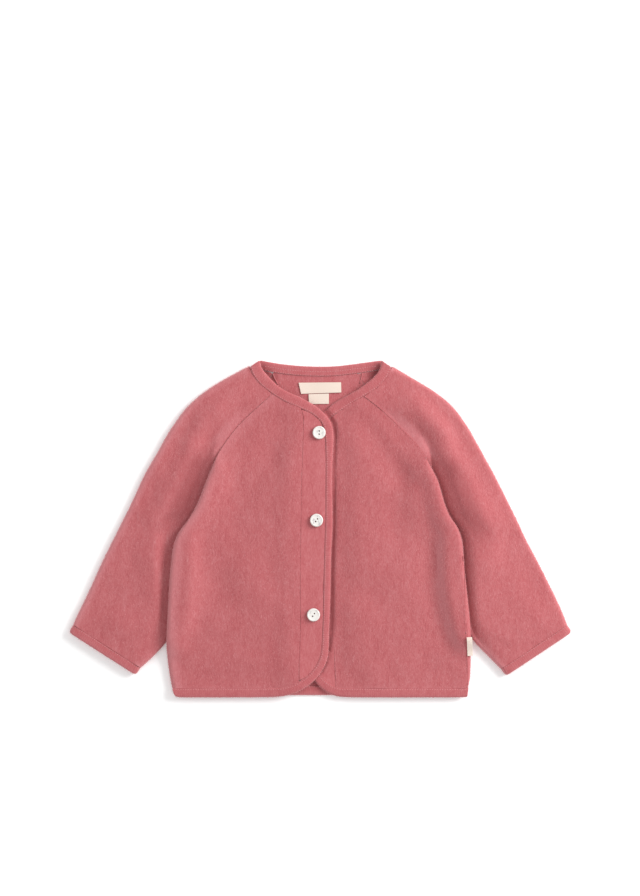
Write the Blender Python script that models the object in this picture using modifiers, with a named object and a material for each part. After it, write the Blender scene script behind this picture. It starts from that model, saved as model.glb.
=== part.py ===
"""Baby fleece jacket laid flat, closed with three buttons. Every cut piece is one closed solid.

Metres, +Z up, the floor at Z = 0, the neck towards +Y, the wearer's right at -X.
All tables are in millimetres.
"""
import math

import bmesh
import bpy
import numpy as np
from mathutils import Vector
from mathutils.geometry import delaunay_2d_cdt

MM = 0.001
CLOTH = 2.2  # wall of the fleece
GAP = 0.3  # between two pieces at a seam
BIND = 3.2  # folded binding, all its layers
HALF = CLOTH / 2
ROLL = 2.8  # radius of the cloth's middle line where it turns at a side
TUCK_ROLL = 1.5  # the same in the pressed inner edge of a sleeve
TUCK_LIFT = 7.3  # how far the body's side lies up on the sleeve
OVERLAP_LIFT = 3.5  # the right front above the left front
BUTTON_D = 13.3
BUTTON_T = 2.4
HOLE_D = 1.5
HOLE_PITCH = 3.2
TAPE = 0.8  # wall of a woven label
FOLD_DEPTH = 1.6
STAND = 2.0  # how far the neck's edge stands up from the layer below

# Outer line of a front: side seam fold, lip on the sleeve, raglan seam.
# Columns: Y, distance from the middle.
EDGE_RIGHT = [
    (-159.0, 148.2), (-148.7, 150.2), (-139.0, 151.9), (-122.0, 153.5), (-113.0, 153.8), (-98.0, 152.9),
    (-69.0, 151.5), (-50.0, 150.5), (-31.0, 148.6), (-16.0, 147.0), (-4.4, 142.4), (8.1, 133.0),
    (18.8, 125.9), (33.1, 119.6), (48.3, 114.2), (61.0, 108.9), (70.4, 104.2), (80.6, 99.1),
    (92.0, 91.5), (104.8, 81.2), (119.0, 66.0), (134.8, 48.1),
]
EDGE_LEFT = [
    (-159.0, 147.8), (-147.7, 150.3), (-127.6, 150.2), (-104.7, 150.1), (-90.0, 149.2), (-70.0, 147.2),
    (-52.0, 144.9), (-41.0, 143.6), (-26.0, 142.6), (-17.1, 142.0), (-7.3, 140.8), (-0.1, 138.0),
    (7.0, 133.4), (15.1, 127.6), (25.8, 123.6), (36.5, 121.0), (49.0, 117.6), (61.4, 110.9),
    (70.4, 105.1), (79.3, 99.6), (87.0, 93.0), (94.0, 86.0), (106.1, 74.6), (117.0, 63.2),
    (124.0, 54.8), (132.5, 43.5),
]
# Raglan seam of the back, on the underside. Columns: Y, distance from the middle.
BACK_RAGLAN_RIGHT = [
    (-16.0, 146.5), (-4.0, 139.0), (8.0, 131.5), (20.0, 124.0), (33.0, 116.0), (47.0, 108.7), (61.0, 101.7),
    (73.0, 95.2), (85.0, 88.7), (99.0, 81.2), (113.0, 73.2), (127.0, 64.7), (141.0, 56.2), (156.6, 47.0),
]
BACK_RAGLAN_LEFT = [
    (-16.0, 141.5), (-4.0, 135.5), (8.0, 128.5), (20.0, 121.2), (33.0, 113.2), (47.0, 105.2), (61.0, 97.2),
    (73.0, 90.3), (85.0, 83.0), (99.0, 74.7), (113.0, 66.2), (127.0, 56.7), (141.0, 47.0), (156.2, 36.7),
]
# Inner edge of a sleeve, seen up to the body and then tucked under it.
# Columns: Y, distance from the middle.
TUCK_RIGHT = [
    (-138.0, 179.1), (-127.0, 166.7), (-117.6, 158.1), (-113.0, 153.8), (-100.0, 143.0), (-80.0, 137.0),
    (-50.0, 135.0), (-25.0, 136.0), (-14.0, 137.0), (-4.0, 139.0), (16.0, 126.5), (157.0, 47.0),
]
TUCK_LEFT = [
    (-138.5, 179.0), (-125.7, 166.9), (-118.0, 159.2), (-111.4, 151.5), (-100.0, 142.5), (-80.0, 136.0),
    (-50.0, 132.5), (-25.0, 131.0), (-14.0, 132.0), (-4.0, 135.5), (16.0, 123.6), (157.0, 36.7),
]
# Sections of a sleeve from cuff to neck: outer fold, edge in the top layer, edge in the layer on the floor.
# Columns: fold x, fold y, top edge x, top edge y, lower edge x, lower edge y.
SLEEVE_RIGHT = [
    (245.3, -94.7, 178.7, -137.1, 178.7, -137.1),
    (241.4, -82.0, 172.0, -131.8, 172.0, -131.8),
    (235.5, -71.0, 165.0, -125.0, 165.0, -125.0),
    (226.5, -51.0, 150.5, -109.5, 150.5, -109.5),
    (217.5, -31.0, 139.5, -89.0, 139.5, -89.0),
    (207.5, -11.0, 135.6, -64.0, 135.6, -64.0),
    (202.5, -1.0, 135.0, -51.0, 135.0, -51.0),
    (197.5, 9.0, 135.5, -38.0, 135.5, -38.0),
    (192.5, 19.0, 136.0, -26.0, 136.3, -26.0),
    (187.5, 29.0, 138.0, -14.0, 138.0, -14.0),
    (183.0, 39.0, 139.3, -4.0, 139.5, -4.0),
    (178.5, 49.0, 132.0, 8.0, 131.9, 8.0),
    (173.5, 59.0, 124.6, 20.0, 124.4, 20.0),
    (167.5, 69.0, 113.0, 34.0, 116.4, 33.0),
    (161.5, 79.0, 106.3, 48.0, 109.1, 47.0),
    (156.5, 89.0, 104.3, 60.0, 102.1, 61.0),
    (150.5, 99.0, 103.4, 71.5, 95.6, 73.0),
    (143.5, 109.0, 99.2, 80.8, 89.1, 85.0),
    (136.5, 119.0, 91.8, 92.0, 81.6, 99.0),
    (126.5, 129.0, 81.5, 104.8, 73.6, 113.0),
    (113.5, 139.0, 70.2, 115.6, 65.1, 127.0),
    (97.5, 149.0, 58.8, 126.0, 57.0, 141.0),
    (72.3, 162.2, 49.5, 134.3, 48.3, 155.5),
]
SLEEVE_LEFT = [
    (244.3, -95.0, 178.7, -137.7, 178.7, -137.7),
    (241.4, -82.0, 172.0, -131.5, 172.0, -131.5),
    (236.3, -71.0, 165.5, -124.5, 165.5, -124.5),
    (226.5, -51.0, 150.0, -109.8, 150.0, -109.8),
    (216.5, -31.0, 139.0, -89.0, 139.0, -89.0),
    (205.5, -11.0, 134.2, -64.0, 134.2, -64.0),
    (201.0, -1.0, 132.7, -51.0, 132.7, -51.0),
    (196.5, 9.0, 131.7, -38.0, 131.7, -38.0),
    (191.5, 19.0, 131.2, -26.0, 131.4, -26.0),
    (186.5, 29.0, 133.0, -14.0, 133.0, -14.0),
    (181.5, 39.0, 135.8, -4.0, 135.9, -4.0),
    (176.5, 49.0, 129.0, 8.0, 128.9, 8.0),
    (171.5, 59.0, 121.8, 20.0, 121.6, 20.0),
    (165.5, 69.0, 115.0, 33.0, 113.6, 33.0),
    (160.5, 79.0, 110.8, 46.0, 105.6, 47.0),
    (154.5, 89.0, 108.0, 58.0, 97.6, 61.0),
    (149.5, 99.0, 105.1, 70.6, 90.7, 73.0),
    (142.5, 109.0, 99.9, 79.5, 83.4, 85.0),
    (135.5, 119.0, 91.4, 89.2, 75.1, 99.0),
    (125.5, 129.0, 80.6, 100.6, 66.6, 113.0),
    (111.5, 139.0, 69.5, 111.8, 57.1, 127.0),
    (94.5, 149.0, 55.6, 123.0, 47.4, 141.0),
    (72.7, 161.8, 45.0, 131.7, 37.4, 155.2),
]
# Outer corner and inner corner of a cuff's mouth, and the way up the sleeve.
CUFF_RIGHT = ((252.2, -103.0), (184.6, -146.3), (-0.539, 0.843))
CUFF_LEFT = ((251.6, -103.0), (185.2, -147.2), (-0.555, 0.832))
# Inner line of the button strips (their seams). Columns: Y, X.
STRIP_RIGHT = [(-151.5, -21.5), (-131.0, -21.5), (-101.0, -20.0), (-43.0, -20.5), (14.0, -19.5),
               (50.0, -19.0),
               (101.0, -17.1), (112.0, -17.1), (119.9, -19.3)]
STRIP_LEFT = [(-157.4, 15.3), (-147.0, 15.0), (-117.0, 13.3), (0.0, 15.0), (60.0, 15.5), (100.0, 16.5),
              (116.4, 16.8)]
# Rounded corners of the fronts: centre x, centre y, outer half axes, inner half axes.
CORNER_RIGHT = (-48.0, -116.0, 57.0, 52.0, 49.6, 43.2)
CORNER_LEFT = (23.7, -123.0, 38.7, 45.2, 31.2, 36.2)
# Binding from the end of the corner up the front edge and round the neck. Columns: outer x, y, inner x, y.
BINDING_RIGHT = [
    (9.4, -104.0, 1.8, -104.0), (10.0, -90.0, 2.7, -90.0), (10.4, -72.0, 2.7, -72.0),
    (11.0, -50.0, 3.2, -50.0), (11.4, -29.0, 3.8, -29.0), (11.8, -8.0, 4.3, -8.0), (12.6, 9.0, 5.2, 9.0),
    (12.6, 30.0, 5.2, 30.0), (13.0, 52.0, 5.2, 52.0), (13.4, 72.0, 5.4, 72.0), (13.5, 88.0, 5.0, 87.0),
    (12.9, 98.0, 4.2, 96.5), (10.9, 105.5, 2.9, 103.0), (6.5, 112.6, -0.6, 108.8),
    (0.8, 118.5, -5.4, 112.9),
    (-5.5, 123.8, -11.2, 116.9),
    (-12.6, 127.4, -18.6, 119.9), (-23.1, 133.4, -27.0, 123.6), (-31.7, 136.4, -35.4, 127.2),
    (-40.3, 141.0, -45.5, 133.2), (-46.1, 146.2, -52.5, 138.4), (-51.8, 152.2, -59.0, 143.4),
    (-57.5, 158.2, -65.4, 150.6), (-60.1, 164.0, -69.0, 157.0), (-61.0, 168.4, -70.0, 162.2),
]
BINDING_LEFT = [
    (-15.0, -110.0, -7.5, -110.0), (-15.2, -88.0, -7.7, -88.0), (-15.4, -62.0, -7.9, -62.0),
    (-15.5, -36.0, -8.0, -36.0), (-15.6, -8.0, -8.1, -8.0), (-15.6, 20.0, -8.1, 20.0),
    (-15.6, 48.0, -8.1, 48.0), (-15.4, 74.0, -7.9, 73.0), (-14.2, 90.0, -6.8, 87.0),
    (-10.4, 102.0, -4.0, 96.6),
    (-4.2, 110.6, 1.0, 103.6), (4.0, 117.8, 8.0, 109.6), (10.7, 124.0, 15.0, 115.6),
    (18.2, 129.0, 22.5, 119.6),
    (26.8, 133.6, 31.5, 126.0), (35.4, 138.0, 40.0, 130.6), (41.2, 142.2, 47.0, 135.0),
    (49.8, 148.4, 56.0, 140.2), (54.8, 153.0, 61.8, 146.0), (59.2, 159.0, 66.8, 152.4),
    (60.7, 164.0, 69.6, 157.4), (60.6, 168.5, 70.4, 161.8),
]
# Upper edge of the back neck. Columns: X, Y.
NECK_BACK = [(-60.0, 168.6), (-48.9, 166.6), (-40.3, 165.1), (-28.8, 163.8), (-17.4, 162.9), (-3.0, 162.4),
             (6.7, 162.5), (18.2, 163.0), (29.7, 164.5), (41.2, 166.0), (49.8, 167.2), (60.0, 168.6)]
# How far a sleeve's top layer swells beside the body. Columns: Y, height.
SWELL = [(-125.0, 1.4), (-90.0, 3.6), (-50.0, 6.0), (0.0, 7.4), (60.0, 7.2), (85.0, 5.0), (105.0, 2.6),
         (134.0, 1.0)]
# How far out from the lip the sleeve takes to rise. Columns: Y, width.
VALLEY = [(-115.0, 11.0), (-80.0, 15.0), (-35.0, 18.0), (10.0, 22.0), (60.0, 23.0), (92.0, 18.0)]
FLOOR_RIGHT = 0.32  # share of that width in which the wearer's right sleeve stays low
SWELL_RIGHT = 0.55  # how much lower that sleeve swells
SLEEVE_PARTS = (0.0, 0.07, 0.15, 0.24, 0.33, 0.42, 0.51, 0.61, 0.72, 0.82, 0.92, 1.0)
NECK_BACK_WIDTH = 9.6
CUFF_WIDTH = 9.0
HEM_BACK = (-157.2, -166.6)
HEM_FRONT = (-159.2, -168.3)
HEM_END_RIGHT = 147.8
HEM_END_LEFT = 147.6
# Middle of the front's cloth at its lip beside the armhole and along the raglan seam. Columns: Y, height.
LIP = [(-4.0, 14.0), (10.0, 14.0), (40.0, 13.9), (58.0, 13.2), (66.0, 11.7), (71.5, 10.2), (80.8, 8.2),
       (92.0, 6.6), (104.8, 5.8), (134.0, 6.6)]
# Height of a sleeve's edge along the raglan seam, and how wide it stays up there. Columns: Y, height, width.
RIDGE = [(60.0, 4.1, 0.0), (71.5, 7.4, 2.6), (80.8, 7.4, 6.0), (92.0, 6.2, 9.0), (104.8, 5.4, 8.0),
         (116.0, 5.6, 6.0)]
# Where the left side seam runs along the turn of the cloth. Columns: Y, length past the top of the turn.
SEAM_LEFT = [(-159.0, 1.3), (-127.0, -0.9), (-104.0, -1.9), (-90.0, -2.3), (-70.0, -0.5), (-52.0, 1.6),
             (-41.0, 3.0), (-26.0, 4.4)]
# Folds lying in the top layer: start x, y, end x, y, half width, height (below zero a valley).
FOLDS = [
    (-28.0, 100.0, -75.0, 44.0, 13.0, -1.5), (-75.0, 44.0, -103.0, -61.0, 14.0, -1.2),
    (48.0, 101.0, 80.0, 54.0, 12.0, -1.35), (80.0, 54.0, 73.0, -1.0, 13.0, -1.2),
    (112.0, -21.0, 106.0, -56.0, 11.0, -1.65), (106.0, -56.0, 122.0, -108.0, 12.0, -0.6),
    (30.0, -61.0, 62.0, -66.0, 12.0, -0.9), (53.0, -146.0, 82.0, -140.0, 14.0, 1.05),
    (-92.0, -20.0, -60.0, -66.0, 15.0, 1.05), (96.0, 20.0, 90.0, 62.0, 12.0, 1.2),
    (-60.0, -110.0, -110.0, -128.0, 14.0, -0.75),
]
SLEEVE_FOLDS_RIGHT = [
    (132.0, 96.0, 168.0, 30.0, 11.0, -1.5), (152.0, 10.0, 196.0, -30.0, 12.0, -1.35),
    (176.0, -60.0, 222.0, -70.0, 12.0, -1.05), (104.0, 118.0, 128.0, 92.0, 9.0, 1.2),
    (188.0, -100.0, 224.0, -92.0, 12.0, 0.9),
]
SLEEVE_FOLDS_LEFT = [
    (128.0, 100.0, 160.0, 38.0, 11.0, -1.35), (148.0, 4.0, 190.0, -22.0, 12.0, -1.35),
    (172.0, -58.0, 214.0, -58.0, 11.0, -1.2), (100.0, 120.0, 126.0, 94.0, 9.0, 1.2),
    (196.0, -112.0, 222.0, -76.0, 14.0, 1.2),
]
# Name, centre x, centre y, turn of the two holes in degrees.
BUTTONS = [
    ("button_top", -1.4, 96.4, 90.0),
    ("button_middle", -4.0, 8.9, 57.0),
    ("button_bottom", -7.0, -85.5, 56.0),
]

# Y of the cross sections, shared by the pieces that meet at a seam.
ROWS_SIDE = [-150.0, -138.0, -128.0, -119.0, -110.0, -100.0, -88.0, -74.0, -60.0, -46.0, -34.0, -24.0,
             -14.0, -4.0]
ROWS_RIGHT = [-159.0, *ROWS_SIDE, 5.0, 14.0, 24.0, 35.0, 46.0, 54.0, 60.0, 65.5, 71.5, 80.8, 92.0,
              104.8, 115.6, 126.0]
ROWS_LEFT = [-159.0, *ROWS_SIDE, 5.0, 14.0, 24.0, 35.0, 46.0, 52.0, 58.0, 64.0, 70.6, 79.5, 89.2,
             100.6, 111.8, 123.0]
ROWS_BACK = ROWS_SIDE + [8.0, 20.0, 33.0, 47.0, 61.0, 73.0, 85.0, 99.0, 113.0, 127.0, 141.0]
BAND = 12.0  # width beside an edge that has columns of its own
ROLL_STEPS = [0.0, 0.38, 0.64, 0.80, 0.91, 0.98, 1.0]


def smooth(low, high, value):
    part = np.clip((np.asarray(value, float) - low) / (high - low), 0.0, 1.0)
    return part * part * (3.0 - 2.0 * part)


def along(rows, value):
    """Second column of a table at a value of its first."""
    data = np.array(sorted(rows))
    return np.interp(value, data[:, 0], data[:, 1])


def folds_at(rows, x, y):
    total = 0.0
    for x0, y0, x1, y1, width, height in rows:
        dx, dy = x1 - x0, y1 - y0
        part = np.clip(((x - x0) * dx + (y - y0) * dy) / (dx * dx + dy * dy), 0.0, 1.0)
        away = np.hypot(x - x0 - part * dx, y - y0 - part * dy)
        total = total + height * np.exp(-((away / width) ** 2))
    return total


def back_level(x, y):
    """Middle of the back's cloth: on the floor, and up on the tucked sleeves at the sides."""
    tuck = np.where(np.asarray(x) < 0.0, along(TUCK_RIGHT, y), along(TUCK_LEFT, y))
    over = smooth(-20.0, -0.8, np.abs(x) - tuck)
    return HALF + TUCK_LIFT * over * (1.0 - smooth(-4.0, 18.0, y))


def lip_level(side, x, y):
    """Middle of the front's cloth at its outer edge."""
    below = back_level(side * x, y) + 2.0 * ROLL
    lip = along(LIP, y)
    share = smooth(-16.0, -4.0, y)
    return below * (1.0 - share) + lip * share


def front_level(x, y):
    """Middle of the top layer's cloth away from the outer edge."""
    loose = smooth(-150.0, -125.0, y) * (1.0 - smooth(92.0, 118.0, y))
    air = 0.9 + 2.0 * loose + FOLD_DEPTH * folds_at(FOLDS, x, y)
    rise = (back_level(x, y) - HALF) / TUCK_LIFT
    floor = back_level(x, y) + CLOTH + 1.0 + 5.0 * rise * (1.0 - rise)
    ends = 1.0 * (1.0 - smooth(-156.0, -140.0, y)) + STAND * smooth(116.0, 150.0, y)
    return floor + np.maximum(air, 0.7) + ends


def right_level(x, y):
    """The right front lies over the left front's edge."""
    over = smooth(-52.0, -19.0, x) * (1.0 - 0.55 * smooth(120.0, 138.0, y))
    flat = 4.1 + 0.35 + 1.0 * (1.0 - smooth(-156.0, -140.0, y))
    under = smooth(-40.0, -16.0, x)
    return (front_level(x, y) * (1.0 - under) + flat * under) + OVERLAP_LIFT * over


def left_level(x, y):
    under = 1.0 - smooth(14.0, 40.0, x)
    flat = 4.1 + 0.05 + 1.0 * (1.0 - smooth(-156.0, -140.0, y))
    return front_level(x, y) * (1.0 - under) + flat * under


def material(name, colour, rough):
    made = bpy.data.materials.new(name)
    made.use_nodes = True
    shader = made.node_tree.nodes["Principled BSDF"]
    shader.inputs["Base Color"].default_value = (*colour, 1.0)
    shader.inputs["Roughness"].default_value = rough
    return made


def add_solid(name, points, faces, slot):
    mesh = bpy.data.meshes.new(name)
    mesh.from_pydata([tuple(float(c) * MM for c in p) for p in points], [], faces)
    body = bmesh.new()
    body.from_mesh(mesh)
    bmesh.ops.recalc_face_normals(body, faces=body.faces)
    body.to_mesh(mesh)
    body.free()
    mesh.materials.append(slot)
    made = bpy.data.objects.new(name, mesh)
    jacket.objects.link(made)
    for face in mesh.polygons:
        face.use_smooth = True
    return made


def add_sheet(name, grid, wall, slot):
    """Cloth of one wall thickness about a grid of middle points."""
    rows, cols = grid.shape[:2]
    faces = []
    for i in range(rows - 1):
        for j in range(cols - 1):
            corner = i * cols + j
            faces.append((corner, corner + 1, corner + cols + 1, corner + cols))
    made = add_solid(name, grid.reshape(-1, 3), faces, slot)
    shell = made.modifiers.new("wall", "SOLIDIFY")
    shell.thickness = wall * MM
    shell.offset = 0.0
    return made


def add_bar(name, inner, outer, up, slot, half=BIND / 2, closed=False):
    """Folded strip with a rounded outer edge. Its stations: inner point, outer point and up direction."""
    shape = [(0.0, 0.80), (1.3, 1.0), (-1.9, 1.0), (-0.6, 0.66), (0.0, 0.0), (-0.6, -0.66), (-1.9, -1.0),
             (1.3, -1.0), (0.0, -0.80)]  # across the strip in mm, and up in half thicknesses
    points = []
    for a, b, n in zip(inner, outer, up):
        width = np.linalg.norm(b - a)
        way = (b - a) / width
        for k, (s, t) in enumerate(shape):
            reach = s if k in (0, 1, 7, 8) else width + s
            points.append(a + way * reach + n * t * half)
    size, count = len(shape), len(inner)
    faces = []
    for i in range(count if closed else count - 1):
        low, high = i * size, ((i + 1) % count) * size
        for k in range(size):
            m = (k + 1) % size
            faces += [(low + k, low + m, high + m), (low + k, high + m, high + k)]
    if not closed:
        faces.append(tuple(range(size))[::-1])
        faces.append(tuple((count - 1) * size + k for k in range(size)))
    return add_solid(name, points, faces, slot)


def roll_point(arc, radius):
    """Reach and fall of a cloth that turns over: flat, half a turn, flat again."""
    if arc <= 0.0:
        return arc, 0.0
    if arc <= math.pi * radius:
        return radius * math.sin(arc / radius), radius * (1.0 - math.cos(arc / radius))
    return -(arc - math.pi * radius), 2.0 * radius


def outward(line):
    """Unit directions square to a plan line that runs towards the neck, pointing away from the body."""
    way = np.gradient(line, axis=0)
    way /= np.linalg.norm(way, axis=1, keepdims=True)
    square = np.stack([way[:, 1], -way[:, 0]], axis=1)
    return square


def seam_arc(side, y):
    """Where the side seam or the lip ends along the turn of the front's cloth."""
    quarter = math.pi * ROLL / 2
    low = quarter if side < 0 else along(SEAM_LEFT, y)
    lip = 150.0 / 180.0 * math.pi * ROLL
    high = quarter + (lip - quarter) * float(smooth(2.0, 14.0, y))
    share = float(smooth(-20.0, -8.0, y))
    value = float(low) * (1.0 - share) + high * share
    return value * (1.0 - float(smooth(58.0, 72.0, y)))


def front_grid(side, rows, edge, strip, neck, corner, level):
    """Middle points of a front from its strip's seam to its outer edge."""
    sign = float(side)
    ys = np.array(rows + [edge[-1][0]])
    share = (ys - ys[0]) / (ys[-1] - ys[0])
    bottom, top = strip[0][0], strip[-1][0]
    inner_y = bottom + share * (top - bottom)
    inner_x = along(strip, inner_y) + sign * GAP / 2
    rim = np.stack([along(edge, ys), ys], axis=1)
    square = outward(rim)
    ahead = rim - np.stack([sign * inner_x, inner_y], axis=1)
    ahead /= np.linalg.norm(ahead, axis=1, keepdims=True)
    blend = smooth(100.0, 128.0, ys)[:, None]
    square = square * (1.0 - blend) + ahead * blend
    square /= np.linalg.norm(square, axis=1, keepdims=True)
    grid = []
    for i, y in enumerate(ys):
        end = seam_arc(side, y)
        if y < -16.0:
            most, inset = ROLL, HALF
        else:
            turn = min(end / ROLL, math.pi / 2)
            most = ROLL * math.sin(turn)
            inset = HALF * math.sin(turn) + GAP / 2 * (1.0 - math.sin(turn))
        arcs = [-BAND + (end + BAND) * step for step in ROLL_STEPS]
        band = []
        for arc in arcs:
            reach, fall = roll_point(arc, ROLL)
            spot = rim[i] + square[i] * (reach - most - inset)
            band.append((spot[0], spot[1], arc, fall))
        first = np.array(band[0][:2])
        start = np.array([sign * inner_x[i], inner_y[i]])
        row = []
        for part in (0.0, 0.035, 0.07, 0.115, 0.16, 0.22, 0.29, 0.36, 0.44, 0.56, 0.68, 0.79, 0.88, 0.95):
            spot = start + (first - start) * part
            row.append((spot[0], spot[1], -99.0, 0.0))
        row += band
        lip = float(lip_level(side, rim[i][0] - HALF - 0.5, y))
        line = []
        for x, yy, arc, fall in row:
            away = rim[i][0] - x if y < 0 else float(np.hypot(rim[i][0] - x, rim[i][1] - yy))
            near = 1.0 - float(smooth(5.5, 26.0, away))
            if arc > -4.0:
                near = 1.0
            height = float(level(sign * x, yy)) * (1.0 - near) + lip * near
            line.append((sign * x, yy, height - fall))
        grid.append(line)
    grid = np.array(grid)
    low, high = grid[0, :, 1].copy(), grid[-1, :, 1].copy()
    cx, cy, _, _, ca, cb = corner
    inside = (grid[0, :, 0] - cx) * -sign
    round_line = cy - cb * np.sqrt(np.clip(1 - (inside / ca) ** 2, 0, 1))
    want = np.where(inside > 0, round_line, HEM_FRONT[0]) + GAP / 2
    grid[:, :, 1] += (want - low)[None, :] * ((1.0 - share) ** 8)[:, None]
    want = along(neck, grid[-1, :, 0]) - GAP * 0.6
    grid[:, :, 1] += (want - high)[None, :] * (share ** 10)[:, None]
    return grid


def back_grid():
    ys = np.array([HEM_BACK[0] + GAP / 2] + ROWS_BACK + [156.4])
    sides = []
    for side, edge, raglan in ((-1, EDGE_RIGHT, BACK_RAGLAN_RIGHT), (1, EDGE_LEFT, BACK_RAGLAN_LEFT)):
        rim = np.array([(along(edge, y) if y < -16.0 else along(raglan, y), y) for y in ys])
        square = outward(rim)
        square[0] = square[-1] = (1.0, 0.0)
        square[-2] = (0.98, 0.2)
        rows = []
        for i, y in enumerate(ys):
            open_side = 1.0 - float(smooth(-26.0, -12.0, y))
            seam = seam_arc(side, min(y, -30.0) if side < 0 else min(y, -24.0))
            end = (math.pi * ROLL - seam - GAP - (0.4 if side > 0 else 0.25)) * open_side
            most = ROLL * math.sin(min(end / ROLL, math.pi / 2))
            inset = HALF * open_side + GAP / 2 * (1.0 - open_side)
            band = []
            for step in ROLL_STEPS[::-1]:
                reach, rise = roll_point(-BAND + (end + BAND) * step, ROLL)
                spot = rim[i] + square[i] * (reach - most - inset)
                near = -BAND + (end + BAND) * step > -2.0
                at = rim[i][0] - HALF - 0.5 if near and y < -10.0 else spot[0]
                level = float(back_level(side * at, spot[1] if not near else y))
                band.append((side * spot[0], spot[1], level + rise))
            rows.append(band)
        sides.append(rows)
    grid = []
    for i, y in enumerate(ys):
        right, left = sides[0][i], sides[1][i][::-1]
        start, stop = np.array(right[-1]), np.array(left[0])
        middle = []
        for part in np.linspace(0, 1, 15)[1:-1]:
            spot = start + (stop - start) * part
            middle.append((spot[0], spot[1], float(back_level(spot[0], spot[1]))))
        grid.append(right + middle + left)
    grid = np.array(grid)
    share = (ys - ys[0]) / (ys[-1] - ys[0])
    want = along(NECK_BACK, grid[-1, :, 0]) - NECK_BACK_WIDTH - GAP / 2
    grid[:, :, 1] += (want - grid[-1, :, 1])[None, :] * (share ** 8)[:, None]
    return grid


def spaced(line, parts):
    """Points of a plan line at shares of its length."""
    line = np.array(line, float)
    run = np.concatenate([[0.0], np.cumsum(np.linalg.norm(np.diff(line, axis=0), axis=1))])
    return np.stack([np.interp(np.array(parts) * run[-1], run, line[:, k]) for k in (0, 1)], axis=1)


def lip_distance(start, way, edge):
    """How far from a start point a row of the sleeve comes out from under the lip."""
    steps = np.linspace(0.0, 40.0, 161)
    spots = start + way * steps[:, None]
    clear = spots[:, 0] > along([(y, x) for y, x in edge], spots[:, 1])
    return float(steps[np.argmax(clear)])


def valley_rise(side, away, width):
    """The sleeve rises from the lip: slowly at first on the wearer's right, at once on the left."""
    part = min(max(away / width, 0.0), 1.0)
    if side < 0:
        return float(smooth(FLOOR_RIGHT, 1.0, part))
    return (1.0 - (1.0 - part) ** 1.9) * float(smooth(0.0, 1.5, away))


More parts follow.
